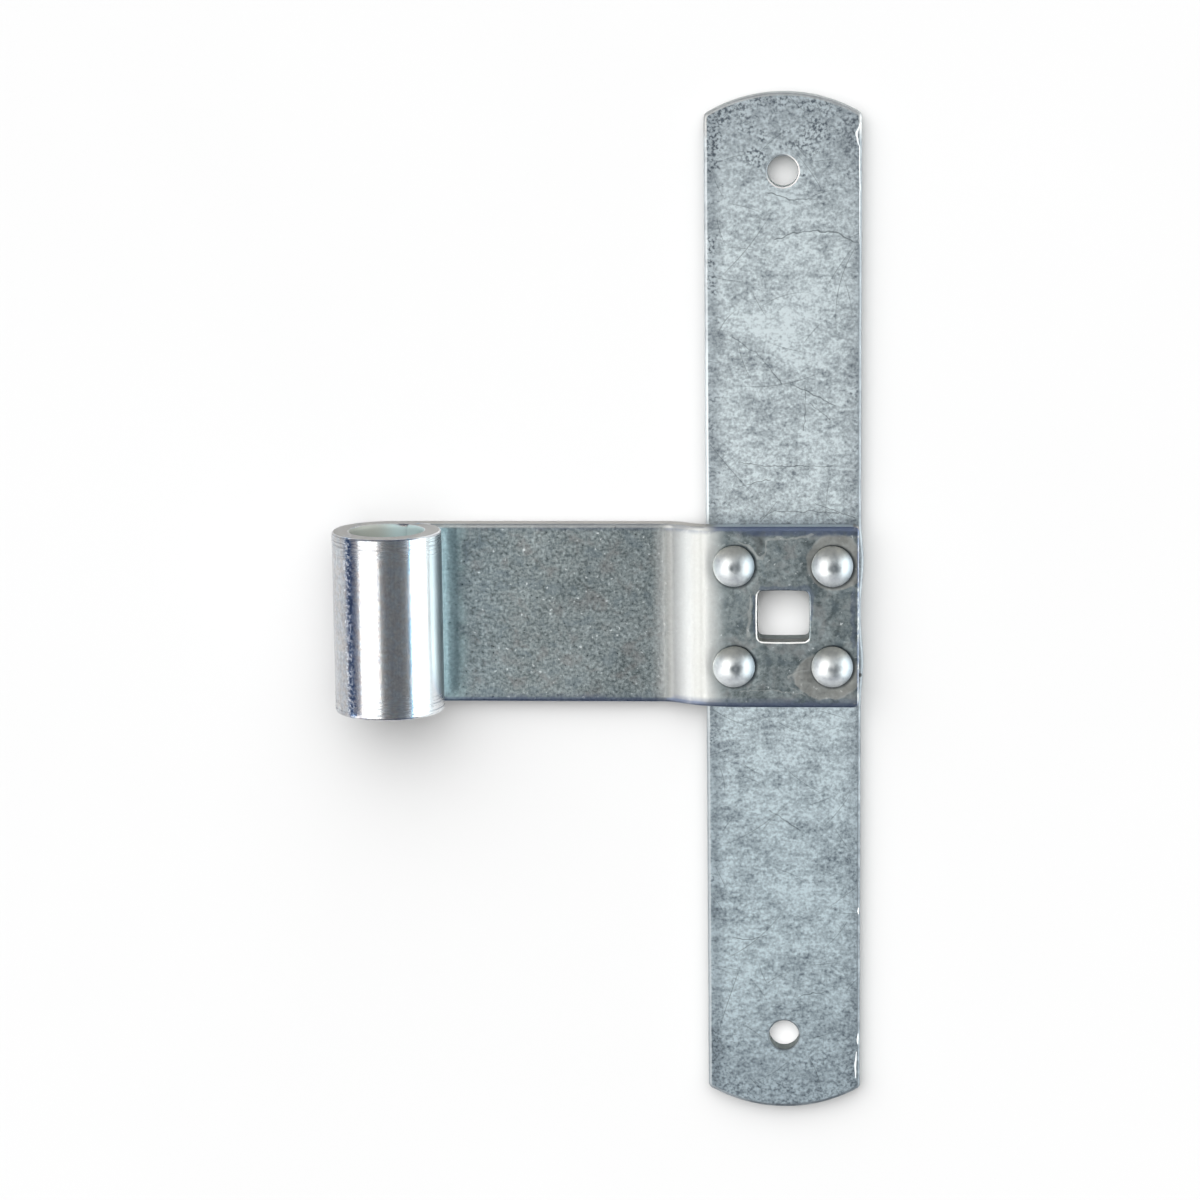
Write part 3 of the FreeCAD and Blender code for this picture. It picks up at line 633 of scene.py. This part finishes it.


# What lies on the plate: a dark top border, dried tide lines, halos, and a dark ring round each head that
# is partly grime and partly painted shade
def addPlateMarks(tree, point, colour, onPlate, clump):
    x, y = addNode(tree, "SeparateXYZ", {0: point}).outputs[:2]
    onFace = wanderOnFace(tree, point, 1.1)
    for halo in armFinish["halos"]:
        patch = placeGroup(tree, stainPatch, point, *halo)
        colour = tint(tree, colour, patch["Inside"], 0.55, armFinish["halo"])
        outline = times(tree, patch["Outline"], remap(tree, clump["Cloud"], 0.15, 0.65))
        colour = tint(tree, colour, outline, 0.5, armFinish["tide"])
    blob = placeGroup(tree, drawnLine, onFace, *armFinish["blobLine"])
    colour = tint(tree, colour, blob["Mask"], 0.6, armFinish["blob"])
    topBand = times(tree, remap(tree, y, 13.2, 13.9), remap(tree, x, 57.5, 60.0), onPlate,
                    remap(tree, clump["Grain"], 0.0, 0.8, 0.35, 0.85))
    colour = mixColour(tree, topBand, colour, armFinish["navy"])
    for name, amount, shade in (("navyLines", 0.45, "navy"), ("tideLines", 0.5, "tide"),
                                ("faintLines", 0.4, "tide")):
        lines = times(tree, drawLines(tree, onFace, armFinish[name]), onPlate)
        colour = tint(tree, colour, lines, amount, armFinish[shade])
    # Dark ring round each head, partly grime and partly painted shade, shifted a little to one side.
    shifted = vectorCalc(tree, "ADD", point, (-65.75, 0.12, 0))
    fromRivet = foldedDistance(tree, shifted, (8.15, 8.5, 0))
    seat = times(tree, onPlate, remap(tree, fromRivet, 4.0, 3.5))
    return tint(tree, colour, seat, 0.75, armFinish["grimeAndShade"])


def makeArmZinc():
    material, tree, shader = newMaterial("armZinc")
    point = pointInMm(tree)
    x, y, z = addNode(tree, "SeparateXYZ", {0: point}).outputs
    zinc = placeGroup(tree, zincGrain, point, armFinish["grain"], armFinish["cloud"])
    clump = placeGroup(tree, zincGrain, point, 1.3, 3.2)
    squares = plus(tree, calc(tree, "POWER", x, 2.0), calc(tree, "POWER", z, 2.0))
    fromAxis = calc(tree, "SQRT", squares)
    onEye = remap(tree, fromAxis, 9.35, 9.2)
    onPlate = remap(tree, x, 52.8, 55.0)
    onJoggle = times(tree, remap(tree, x, 45.4, 46.4), remap(tree, x, 56.3, 52.8))
    # Painted highlight over the joggle's bends and slope, shading to dark at the foot of the slope.
    slopeHighlight = plus(tree, remap(tree, x, 46.4, 49.6, -0.06, 0.78, kind="LINEAR"),
                   remap(tree, x, 49.8, 51.0, 0.0, -0.42))
    slopeHighlight = plus(tree, slopeHighlight, remap(tree, x, 51.8, 53.0, 0.0, 0.64))

    flatTone = layerTones(tree, ((zinc["Grain"], 0.85), (zinc["Crystal"], 0.2), (clump["Grain"], 0.35),
                                 (zinc["Cloud"], 0.3)), 0.42)
    plateTone = layerTones(tree, ((zinc["Grain"], 0.5), (clump["Grain"], 0.75), (clump["Cloud"], 0.75),
                                  (zinc["Cloud"], 0.4)), 0.4)
    tone = mixValue(tree, onPlate, flatTone, plateTone)
    colour = mixColour(tree, tone, armFinish["dark"], armFinish["light"])
    colour = tint(tree, colour, remap(tree, clump["Cloud"], 0.5, 0.95), 0.4, armFinish["brown"])
    colour = tint(tree, colour, remap(tree, clump["Cloud"], 0.45, 0.1), 0.4, armFinish["bluish"])
    specks = times(tree, remap(tree, zinc["Crystal"], 0.975, 0.99), remap(tree, zinc["Grain"], 0.5, 0.75))
    colour = mixColour(tree, specks, colour, armFinish["specks"])
    colour = shadeBy(tree, onPlate, colour, armFinish["plateShade"])
    # The painted highlight fades out over the plate's left margin and begins just before the lower bend.
    marginHighlight = times(tree, onPlate, remap(tree, x, 57.4, 54.2))
    colour = tint(tree, colour, marginHighlight, 0.5, armFinish["light"])
    bendHighlight = times(tree, remap(tree, x, 43.2, 46.2, 0.0, 0.68), remap(tree, x, 46.4, 45.6))
    colour = mixColour(tree, bendHighlight, colour, armFinish["joggleHighlight"])
    slopeHighlightColour = mixColour(tree, slopeHighlight, armFinish["slopeShade"], armFinish["joggleHighlight"])
    colour = tint(tree, colour, onJoggle, 0.88, slopeHighlightColour)
    # Painted shade on the arm beside the eye.
    colour = shadeBy(tree, remap(tree, x, 24.0, 13.0), colour, armFinish["shadeBesideEye"])
    # Painted reflection: a ragged teal band on the arm just beside the eye.
    ragged = minus(tree, x, times(tree, clump["Cloud"], 2.4))
    besideEyeReflection = remap(tree, ragged, 12.0, 9.0)
    eyeReflection = mixColour(tree, tone, armFinish["eyeReflectionDark"], armFinish["eyeReflection"])
    colour = tint(tree, colour, besideEyeReflection, 0.78, eyeReflection)
    # Painted shade in the crevice where the eye meets the arm.
    colour = tint(tree, colour, remap(tree, x, 9.1, 8.7), 0.4, armFinish["grimeAndShade"])
    eyeColour, eyeRough, eyeTone, eyeMatt = addEyeZinc(tree, point, zinc, clump, fromAxis)
    colour = mixColour(tree, onEye, colour, eyeColour)

    fromEdge = minus(tree, 15.1, calc(tree, "ABSOLUTE", y))
    blueEdge = times(tree, remap(tree, fromEdge, 1.5, 0.6), remap(tree, clump["Cloud"], 0.1, 0.6),
                     remap(tree, x, 9.0, 24.0))
    colour = tint(tree, colour, blueEdge, 0.5, armFinish["navy"])
    colour = addPlateMarks(tree, point, colour, onPlate, clump)

    rub = placeGroup(tree, edgeRub, point, 1.6, 0.5)
    onTop = remap(tree, y, 14.0, 14.6)
    atTip = remap(tree, x, 77.0, 77.4)
    edge = mixColour(tree, onTop, armFinish["navy"], armFinish["paleEdge"])
    edge = mixColour(tree, onPlate, edge, armFinish["navy"])
    rubbedTip = times(tree, remap(tree, rub["Rub"], 0.0, 1.0, 0.1, 0.9),
                      remap(tree, clump["Cloud"], 0.25, 0.6, 0.3, 1.0))
    rubbedTip = times(tree, atTip, rubbedTip)
    edge = mixColour(tree, rubbedTip, edge, armFinish["paleEdge"])
    offEye = minus(tree, 1.0, onEye)
    nearBorder = remap(tree, fromEdge, 1.3, 0.9)
    outerRim = times(tree, calc(tree, "MAXIMUM", nearBorder, atTip), rub["Rim"], offEye)
    colour = tint(tree, colour, outerRim, 0.7, edge)
    cut = mixColour(tree, onEye, armFinish["sideCut"], armFinish["endCut"])
    # Painted shade: the walls of the plate's holes are darker than its outer border.
    plateCut = mixColour(tree, nearBorder, armFinish["holeWallShade"], armFinish["plateCut"])
    plateCut = mixColour(tree, atTip, plateCut, armFinish["sideCut"])
    cut = mixColour(tree, onPlate, cut, plateCut)
    colour = tint(tree, colour, rub["Cut"], 0.85, cut)
    # Painted highlight on the lower and left rim of the square hole, less metallic there.
    fromHole = vectorCalc(tree, "DISTANCE", point, armFinish["hole"])
    lipOnly = times(tree, rub["Rim"], remap(tree, rub["Cut"], 0.4, 0.1))
    lit = calc(tree, "MAXIMUM", remap(tree, y, -3.7, -4.1), remap(tree, x, 61.9, 61.5))
    lip = times(tree, lipOnly, remap(tree, fromHole, 6.1, 5.8), lit)
    colour = tint(tree, colour, lip, 0.85, armFinish["lip"])
    feed(tree, shader.inputs["Base Color"], colour)
    matt = plus(tree, times(tree, lipOnly, onTop, offEye, 0.16), times(tree, lip, 0.42))
    matt = plus(tree, matt, times(tree, eyeMatt, onEye))
    feed(tree, shader.inputs["Metallic"], minus(tree, 1.0, matt, clamp=True))
    flatRough = mixValue(tree, zinc["Grain"], 0.27, 0.38)
    flatRough = plus(tree, flatRough, times(tree, onPlate, 0.09))
    flatRough = mixValue(tree, onJoggle, flatRough, 0.46)
    rough = mixValue(tree, onEye, flatRough, eyeRough)
    feed(tree, shader.inputs["Roughness"], mixValue(tree, rub["Cut"], rough, 0.5))
    height = mixValue(tree, onEye, plus(tree, zinc["Grain"], clump["Grain"]), times(tree, eyeTone, 0.45))
    addBump(tree, shader, height, 0.6, 0.012)
    return material


rivetFinish = {
    "dark": (0.64, 0.67, 0.68, 1), "light": (0.95, 0.97, 0.96, 1), "dentReflection": (0.15, 0.17, 0.19, 1),
    "rightShade": (0.44, 0.48, 0.52, 1), "dustAndShade": (0.6, 0.58, 0.52, 1), "roughness": (0.42, 0.57),
    "middle": 65.95, "headX": 8.15, "headY": 8.5, "dentY": 8.6,
}


# All four heads share one finish, so the point is measured from the middle of the four
def makeRivetZinc():
    material, tree, shader = newMaterial("rivetZinc")
    point = pointInMm(tree)
    zinc = placeGroup(tree, zincGrain, point, 0.5, 2.5)
    tone = plus(tree, times(tree, zinc["Grain"], 0.4), times(tree, zinc["Cloud"], 0.6), clamp=True)
    colour = mixColour(tree, tone, rivetFinish["dark"], rivetFinish["light"])
    shifted = vectorCalc(tree, "ADD", point, (-rivetFinish["middle"], 0, 0))
    # Painted reflection: a dark spot round the dent on top of each head.
    fromDent = foldedDistance(tree, shifted, (rivetFinish["headX"], rivetFinish["dentY"], 0))
    dentReflection = plus(tree, fromDent, times(tree, zinc["Cloud"], 0.7))
    colour = mixColour(tree, remap(tree, dentReflection, 1.8, 0.5, 0.0, 0.85), colour, rivetFinish["dentReflection"])
    x, y = addNode(tree, "SeparateXYZ", {0: shifted}).outputs[:2]
    fromCentreX = minus(tree, x, times(tree, calc(tree, "SIGN", x), rivetFinish["headX"]))
    fromCentreY = minus(tree, y, times(tree, calc(tree, "SIGN", y), rivetFinish["headY"]))
    # Painted shade on the right side of each head.
    colour = shadeBy(tree, remap(tree, fromCentreX, 0.6, 2.8), colour, rivetFinish["rightShade"])
    # Top side of each head: painted shade, with a little matt dust.
    dustAndShadeMask = remap(tree, fromCentreY, 0.8, 2.8)
    colour = shadeBy(tree, dustAndShadeMask, colour, rivetFinish["dustAndShade"])
    # Painted light: the lower side of each head is less metallic, so the soft daylight brightens it.
    litFoot = remap(tree, fromCentreY, -0.9, -2.6)
    matt = plus(tree, times(tree, dustAndShadeMask, 0.12), times(tree, litFoot, 0.45))
    feed(tree, shader.inputs["Metallic"], minus(tree, 1.0, matt))
    feed(tree, shader.inputs["Base Color"], colour)
    feed(tree, shader.inputs["Roughness"], mixValue(tree, zinc["Grain"], *rivetFinish["roughness"]))
    addBump(tree, shader, zinc["Grain"], 0.5, 0.01)
    return material


strapZinc = makeStrapZinc()
armZinc = makeArmZinc()
rivetZinc = makeRivetZinc()
print("zinc materials ready")


# Cross strap

strap = {
    "x": 65.6, "width": 25.8, "length": 172.7, "stock": 3.0, "middle": -7.6,
    "endRadius": 25.0, "endCorner": 1.0, "screwY": 73.5, "screwRadius": 2.55,
    "rivetX": 8.15, "rivetY": 8.5, "rivetHole": 2.05, "tailFlare": 1.0,
    "swell": 0.45, "swellSpread": 4.2, "edge": (0.62, 0.5), "backEdge": (0.3, 0.3), "wave": 0.035,
    "square": (8.5, 0.12, 0.7), "grid": 0.9,
}


def rivetPlaces(middle):
    return [(middle + i * strap["rivetX"], j * strap["rivetY"]) for i in (-1, 1) for j in (-1, 1)]


def swellAt(y):
    bulges = [math.exp(-((y - side * strap["rivetY"]) / strap["swellSpread"]) ** 2) for side in (-1, 1)]
    return strap["swell"] * min(1.0, sum(bulges))


def strapOutline():
    half, length = strap["width"] / 2, strap["length"] / 2
    crown, corner = strap["endRadius"], strap["endCorner"]
    centreY = length - crown
    cornerY = math.sqrt((crown - corner) ** 2 - (half - corner) ** 2)
    fan = math.degrees(math.atan2(cornerY, half - corner))
    quarter = arcPoints((half - corner, centreY + cornerY), corner, 0, fan, 6)
    quarter += arcPoints((0, centreY), crown, fan, 90, 30)[1:]
    top = quarter + [Vector((-p.x, p.y)) for p in quarter[-2::-1]]
    loop = closedLoop(top + [Vector((-p.x, -p.y)) for p in top])
    worked = []
    for p in loop:
        x = p.x + (swellAt(p.y) if p.x > half - 0.01 else 0.0)
        wave = strap["wave"] * noise.noise(Vector((p.x * 0.1, p.y * 0.25, 3.0)))
        worked.append(Vector((strap["x"] + x + wave, p.y)))
    return worked


def placeStrap(x, y, level):
    return x, y, strap["middle"] + level


def buildStrap():
    half = strap["stock"] / 2
    contours = [(strapOutline(), rimProfile(half, strap["edge"], strap["backEdge"]))]
    contours += [(roundLoop(strap["x"], i * strap["screwY"], strap["screwRadius"], 64),
                  rimProfile(half, (0.3, 0.2), (0.08, 0.08))) for i in (-1, 1)]
    contours += [(roundLoop(x, y, strap["rivetHole"]),
                  rimProfile(half, (0.1, 0.1), (strap["tailFlare"],) * 2, 1))
                 for x, y in rivetPlaces(strap["x"])]
    contours.append((squareLoop(strap["x"], 0, *strap["square"]),
                     rimProfile(half, (0.2, 0.15), (0.1, 0.1))))
    side, end = strap["width"] / 2, strap["length"] / 2
    across = stations(strap["x"] - side, strap["x"] + side, strap["grid"])
    along = stations(-end, end, strap["grid"])
    return buildBar("crossStrap", contours, across, along, placeStrap, half, strapZinc)


crossStrap = buildStrap()
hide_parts("cross_strap")
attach(crossStrap, "root")
print("cross strap:", len(crossStrap.data.polygons), "faces")


# Arm: one flat blank, rolled into the eye at one end and stepped up on to the strap at the other

arm = {
    "width": 30.2, "stock": 3.0, "bore": 6.1, "seamGap": 0.15, "seamMouth": 0.55,
    "slope": 32.0, "bendRadius": 3.0, "upperBendX": 53.15, "strapFront": -6.1, "plateEnd": 77.75,
    "plateCorner": 0.8, "edge": (0.85, 0.36), "backEdge": (0.5, 0.35), "squareLip": (0.3, 0.16),
    "dish": {"depth": 0.09, "from": 3.3, "wide": 1.0}, "lateRoll": (0.6, 0.4),
    "sideSpread": (0.2, 12.0, 3.1), "plateSpread": (0.25, 50.0, 8.0), "endSpread": (0.45, 75.9, 1.85),
}
arm["mid"] = arm["bore"] + arm["stock"] / 2
arm["bendMid"] = arm["bendRadius"] + arm["stock"] / 2
slopeAngle = math.radians(arm["slope"])
arm["straight"] = (arm["stock"] - 2 * arm["bendMid"] * (1 - math.cos(slopeAngle))) / math.sin(slopeAngle)
arm["lowBendX"] = (arm["upperBendX"] - arm["straight"] * math.cos(slopeAngle)
                   - 2 * arm["bendMid"] * math.sin(slopeAngle))


def rollAngle(radius):
    depth = (radius - arm["bore"]) / arm["stock"]
    lip = arm["bore"] - arm["seamMouth"] + (arm["seamMouth"] - arm["seamGap"]) * depth
    return 270 + math.degrees(math.asin(lip / radius))


arm["eyeLength"] = arm["mid"] * math.radians(rollAngle(arm["mid"]))
arm["plateStart"] = arm["lowBendX"] + 2 * arm["bendMid"] * slopeAngle + arm["straight"]
arm["length"] = arm["plateStart"] + arm["plateEnd"] - arm["upperBendX"]


# The riveting has pulled the plate down a little round each head
def dishAt(x, y):
    dish = arm["dish"]
    fromHeads = [math.hypot(x - headX, y - headY) for headX, headY in rivetPlaces(strap["x"])]
    return sum(dish["depth"] * math.exp(-((away - dish["from"]) / dish["wide"]) ** 2) for away in fromHeads)


def riseFrom(value, start, reach):
    return min(1.0, max(0.0, (value - start) / reach))


# Where a point of the flat blank ends up: along the blank, across it, and over mid stock
def foldBlank(along, across, level):
    if along < 0:
        radius = arm["mid"] - level
        share = -along / arm["eyeLength"]
        late = riseFrom(share, *arm["lateRoll"])
        ease = late * late * (3 - 2 * late)
        midRoll = rollAngle(arm["mid"])
        turn = math.radians(-90 - share * midRoll - ease * (rollAngle(radius) - midRoll))
        return radius * math.cos(turn), across, radius * math.sin(turn)
    low = -arm["mid"]
    if along < arm["lowBendX"]:
        return along, across, low + level
    along -= arm["lowBendX"]
    sweep = arm["bendMid"] * slopeAngle
    if along < sweep:
        turn, radius = along / arm["bendMid"], arm["bendMid"] - level
        x = arm["lowBendX"] + radius * math.sin(turn)
        return x, across, low + arm["bendMid"] - radius * math.cos(turn)
    along -= sweep
    highZ = arm["strapFront"] - arm["bendRadius"]
    if along < arm["straight"]:
        back = arm["straight"] - along
        radius = arm["bendMid"] + level
        return (arm["upperBendX"] - radius * math.sin(slopeAngle) - back * math.cos(slopeAngle), across,
                highZ + radius * math.cos(slopeAngle) - back * math.sin(slopeAngle))
    along -= arm["straight"]
    if along < sweep:
        turn, radius = slopeAngle - along / arm["bendMid"], arm["bendMid"] + level
        return arm["upperBendX"] - radius * math.sin(turn), across, highZ + radius * math.cos(turn)
    x = arm["upperBendX"] + along - sweep
    height = arm["strapFront"] + arm["stock"] / 2 + level
    return x, across, height - (dishAt(x, across) if level > 0 else 0.0)


# Rolling and riveting have spread the bar a little: along its lower side, and at the plate's end
def foldArm(along, across, level):
    x, y, z = foldBlank(along, across, level)
    (side, *sideReach), (plate, *plateReach), (end, *endReach) = (
        arm["sideSpread"], arm["plateSpread"], arm["endSpread"])
    riveted = riseFrom(x, *plateReach)
    riveted *= riveted * (3 - 2 * riveted)
    y -= riseFrom(-y, *sideReach) * (side + plate * riveted)
    return x + end * riseFrom(x, *endReach), y, z


def buildArm():
    half, side, corner = arm["stock"] / 2, arm["width"] / 2, arm["plateCorner"]
    tip, end = -arm["eyeLength"], arm["length"]
    points = [Vector((tip, -side))]
    points += arcPoints((end - corner, corner - side), corner, -90, 0, 8)
    points += arcPoints((end - corner, side - corner), corner, 0, 90, 8)
    points.append(Vector((tip, side)))
    outline = closedLoop(points)
    middle = strap["x"] + arm["length"] - arm["plateEnd"]
    contours = [(outline, rimProfile(half, arm["edge"], arm["backEdge"]))]
    contours += [(roundLoop(x, y, strap["rivetHole"]), rimProfile(half, (0.1, 0.1), (0.1, 0.1)))
                 for x, y in rivetPlaces(middle)]
    contours.append((squareLoop(middle, 0, *strap["square"]),
                     rimProfile(half, arm["squareLip"], (0.1, 0.1))))
    across = stations(tip, 0, 0.45) + stations(0, arm["lowBendX"], 0.9)
    across += stations(arm["lowBendX"], arm["plateStart"], 0.4) + stations(arm["plateStart"], end, 0.6)
    return buildBar("eyeArm", contours, across, stations(-side, side, 0.7), foldArm, half, armZinc,
                    (0.4, 1.0))


eyeArm = buildArm()
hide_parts("eye_arm")
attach(eyeArm, "root")
print("eye arm:", len(eyeArm.data.polygons), "faces")


# Domed rivets

rivet = {
    "head": 3.45, "height": 2.3, "rim": 0.35, "hole": 2.05, "flare": 1.0,
    "seat": -3.1, "dimple": (0.7, 0.1), "segments": 72,
    "heads": {
        "rivet_upper_left": (-1, 1, 0.0, 0.2), "rivet_upper_right": (1, 1, 0.0, 1.4),
        "rivet_lower_left": (-1, -1, 0.3, 4.0), "rivet_lower_right": (1, -1, 0.05, 5.1),
    },
}


def rivetProfile():
    crown = rivet["height"] - rivet["rim"]
    dome = (rivet["head"] ** 2 + crown ** 2) / (2 * crown)
    wide, deep = rivet["dimple"]
    profile = []
    for r in [0.0, 0.12, 0.25, 0.4, 0.55, 0.7, 0.85, 1.0, 1.2] + [1.4 + 0.15 * i for i in range(13)]:
        z = rivet["height"] - dome + math.sqrt(dome ** 2 - r ** 2)
        profile.append((r, z - deep * math.exp(-(r / wide * 1.5) ** 2)))
    profile += [(3.32, 0.52), (3.4, 0.42), (3.44, 0.32), (3.45, 0.2), (3.42, 0.1), (3.34, 0.03), (3.2, 0.0)]
    profile += [(2.4, 0.0), (2.05, 0.0), (2.0, -0.05), (2.0, -2.0), (2.0, -4.9)]
    tail = rivet["hole"] + rivet["flare"]
    profile += [(2.04, -5.0), (tail - 0.06, -5.94), (tail - 0.1, -6.0), (tail - 0.3, -6.0), (1.6, -5.97),
                (0.8, -5.96), (0.0, -5.96)]
    return profile


def buildRivet(node, side, end, flash, phase):
    bm = bmesh.new()
    rimLayer = bm.verts.layers.float.new("rim")
    bm.verts.layers.float.new("cutFace")
    x, y = strap["x"] + side * strap["rivetX"], end * strap["rivetY"]
    rings = []
    for r, z in rivetProfile():
        if r == 0:
            rings.append([bm.verts.new((x, y, rivet["seat"] + z))])
            continue
        ring = []
        for i in range(rivet["segments"]):
            turn = 2 * math.pi * i / rivet["segments"]
            rough = noise.noise(Vector((math.cos(turn) * 1.3, math.sin(turn) * 1.3, phase)))
            out = r
            if 0 <= z < 0.6 and r > 3.1:
                out += 0.05 * rough + flash * max(0.0, math.cos(turn - phase)) * (0.6 - z)
            place = (x + out * math.cos(turn), y + out * math.sin(turn), rivet["seat"] + z)
            ring.append(bm.verts.new(place))
            ring[-1][rimLayer] = 1.0 if 0 <= z < 0.3 and r > 3.3 else 0.0
        rings.append(ring)
    for upper, lower in zip(rings, rings[1:]):
        for i in range(rivet["segments"]):
            j = (i + 1) % rivet["segments"]
            if len(upper) == 1:
                bm.faces.new((upper[0], lower[i], lower[j]))
            elif len(lower) == 1:
                bm.faces.new((upper[i], lower[0], upper[j]))
            else:
                bm.faces.new((upper[i], lower[i], lower[j], upper[j]))
    piece = finishMesh(bm, node.replace("rivet_", "rivetHead_"), rivetZinc)
    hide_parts(node)
    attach(piece, "root")
    return piece


for node, (side, end, flash, phase) in rivet["heads"].items():
    buildRivet(node, side, end, flash, phase)
print("rivets:", len(rivet["heads"]))


# Floor, lights and camera

studio = {
    "floorSize": 4.0, "floorLevel": -9.12, "paper": 0.5,
    "above": (0.18, 0.2, 0.215, 1), "horizon": (0.05, 0.075, 0.15, 1), "backdrop": (0.9, 0.91, 0.92, 1),
    "lightUnderHoles": {"reach": (5.5, 4.0), "places": (((65.6, -1.0, 0), 0.66), ((65.6, -74.5, 0), 0.74))},
    "daylight": {"towards": (-0.165, 0.537, 0.827), "spread": 0.45, "bright": 5.38},
    "leftBox": {"place": (-0.4, -0.12, 0.6), "wide": 0.54, "long": 1.2, "power": 5.6,
                "colour": (1.0, 0.985, 0.95)},
    "rightBox": {"place": (0.73, -0.1, 0.18), "wide": 0.56, "long": 1.0, "power": 7.0,
                 "colour": (0.95, 1.0, 1.0)},
    "lowCard": {"place": (-0.6, -0.42, 0.2), "wide": 0.34, "long": 0.4, "power": 0.75,
                "colour": (1.0, 1.0, 1.0)},
}


# A pale sheet, with painted light where it shows through the holes
def addFloor():
    bm = bmesh.new()
    bmesh.ops.create_grid(bm, x_segments=8, y_segments=8, size=studio["floorSize"] / 2 / mm)
    bmesh.ops.translate(bm, vec=(0, 0, studio["floorLevel"]), verts=bm.verts)
    material, tree, shader = newMaterial("paleTable")
    paper = addNode(tree, "TexNoise", {"Vector": pointInMm(tree), "Scale": 0.02, "Detail": 2.0})
    shade, under = studio["paper"], studio["lightUnderHoles"]
    colour = mixColour(tree, paper.outputs["Fac"], (shade,) * 3 + (1,), (shade + 0.01,) * 3 + (1,))
    flat = vectorCalc(tree, "MULTIPLY", pointInMm(tree), (1, 1, 0))
    # Painted light: the sheet is paler under the holes, so no shade shows through them.
    for place, pale in under["places"]:
        near = remap(tree, vectorCalc(tree, "DISTANCE", flat, place), *under["reach"])
        colour = mixColour(tree, near, colour, (pale,) * 3 + (1,))
    feed(tree, shader.inputs["Base Color"], colour)
    shader.inputs["Roughness"].default_value = 0.9
    shader.inputs["Specular IOR Level"].default_value = 0.0
    floor = finishMesh(bm, "table", material)


def addSoftbox(name):
    box = studio[name]
    light = bpy.data.lights.new(name, "AREA")
    light.shape = "RECTANGLE"
    light.size, light.size_y = box["wide"], box["long"]
    light.energy = box["power"]
    light.color = box["colour"]
    lamp = bpy.data.objects.new(name, light)
    lamp.location = box["place"]
    lamp.rotation_euler = (0, math.atan2(box["place"][0], box["place"][2]), 0)
    lamp.visible_diffuse = False
    bpy.context.scene.collection.objects.link(lamp)


# Grey overhead, falling to a dark blue near the horizon. Matt surfaces get soft daylight instead, and
# behind the table there is a pale wall.
def addWorld():
    world = bpy.data.worlds.new("studioAir")
    world.use_nodes = True
    tree = world.node_tree
    direction = addNode(tree, "TexCoord").outputs["Generated"]
    height = remap(tree, addNode(tree, "SeparateXYZ", {0: direction}).outputs["Z"], 0.42, 0.68)
    seen = mixColour(tree, height, studio["horizon"], studio["above"])
    day = studio["daylight"]
    facing = vectorCalc(tree, "DOT_PRODUCT", direction, Vector(day["towards"]).normalized())
    light = remap(tree, facing, day["spread"], 1.0, 0.0, day["bright"], kind="LINEAR")
    ray = addNode(tree, "LightPath")
    white = addNode(tree, "CombineXYZ", {0: light, 1: light, 2: light})
    colour = mixColour(tree, ray.outputs["Is Diffuse Ray"], seen, white.outputs[0])
    colour = mixColour(tree, ray.outputs["Is Camera Ray"], colour, studio["backdrop"])
    feed(tree, tree.nodes["Background"].inputs["Color"], colour)
    bpy.context.scene.world = world


camera = {
    "place": (75.64449, 124.78353, 612.37722), "turn": (-11.192, 3.765, -0.641), "lens": 113.27,
}


def addCamera():
    lens = bpy.data.cameras.new("photoCamera")
    lens.sensor_width = 36
    lens.sensor_fit = "HORIZONTAL"
    lens.lens = camera["lens"]
    lens.clip_start, lens.clip_end = 0.05, 20
    eye = bpy.data.objects.new("photoCamera", lens)
    eye.location = [value * mm for value in camera["place"]]
    eye.rotation_mode = "ZXY"
    eye.rotation_euler = [math.radians(value) for value in camera["turn"]]
    bpy.context.scene.collection.objects.link(eye)
    bpy.context.scene.camera = eye


addFloor()
addSoftbox("leftBox")
addSoftbox("rightBox")
addSoftbox("lowCard")
addWorld()
addCamera()
bpy.context.scene.view_settings.view_transform = "Standard"
print("floor, lights and camera ready")
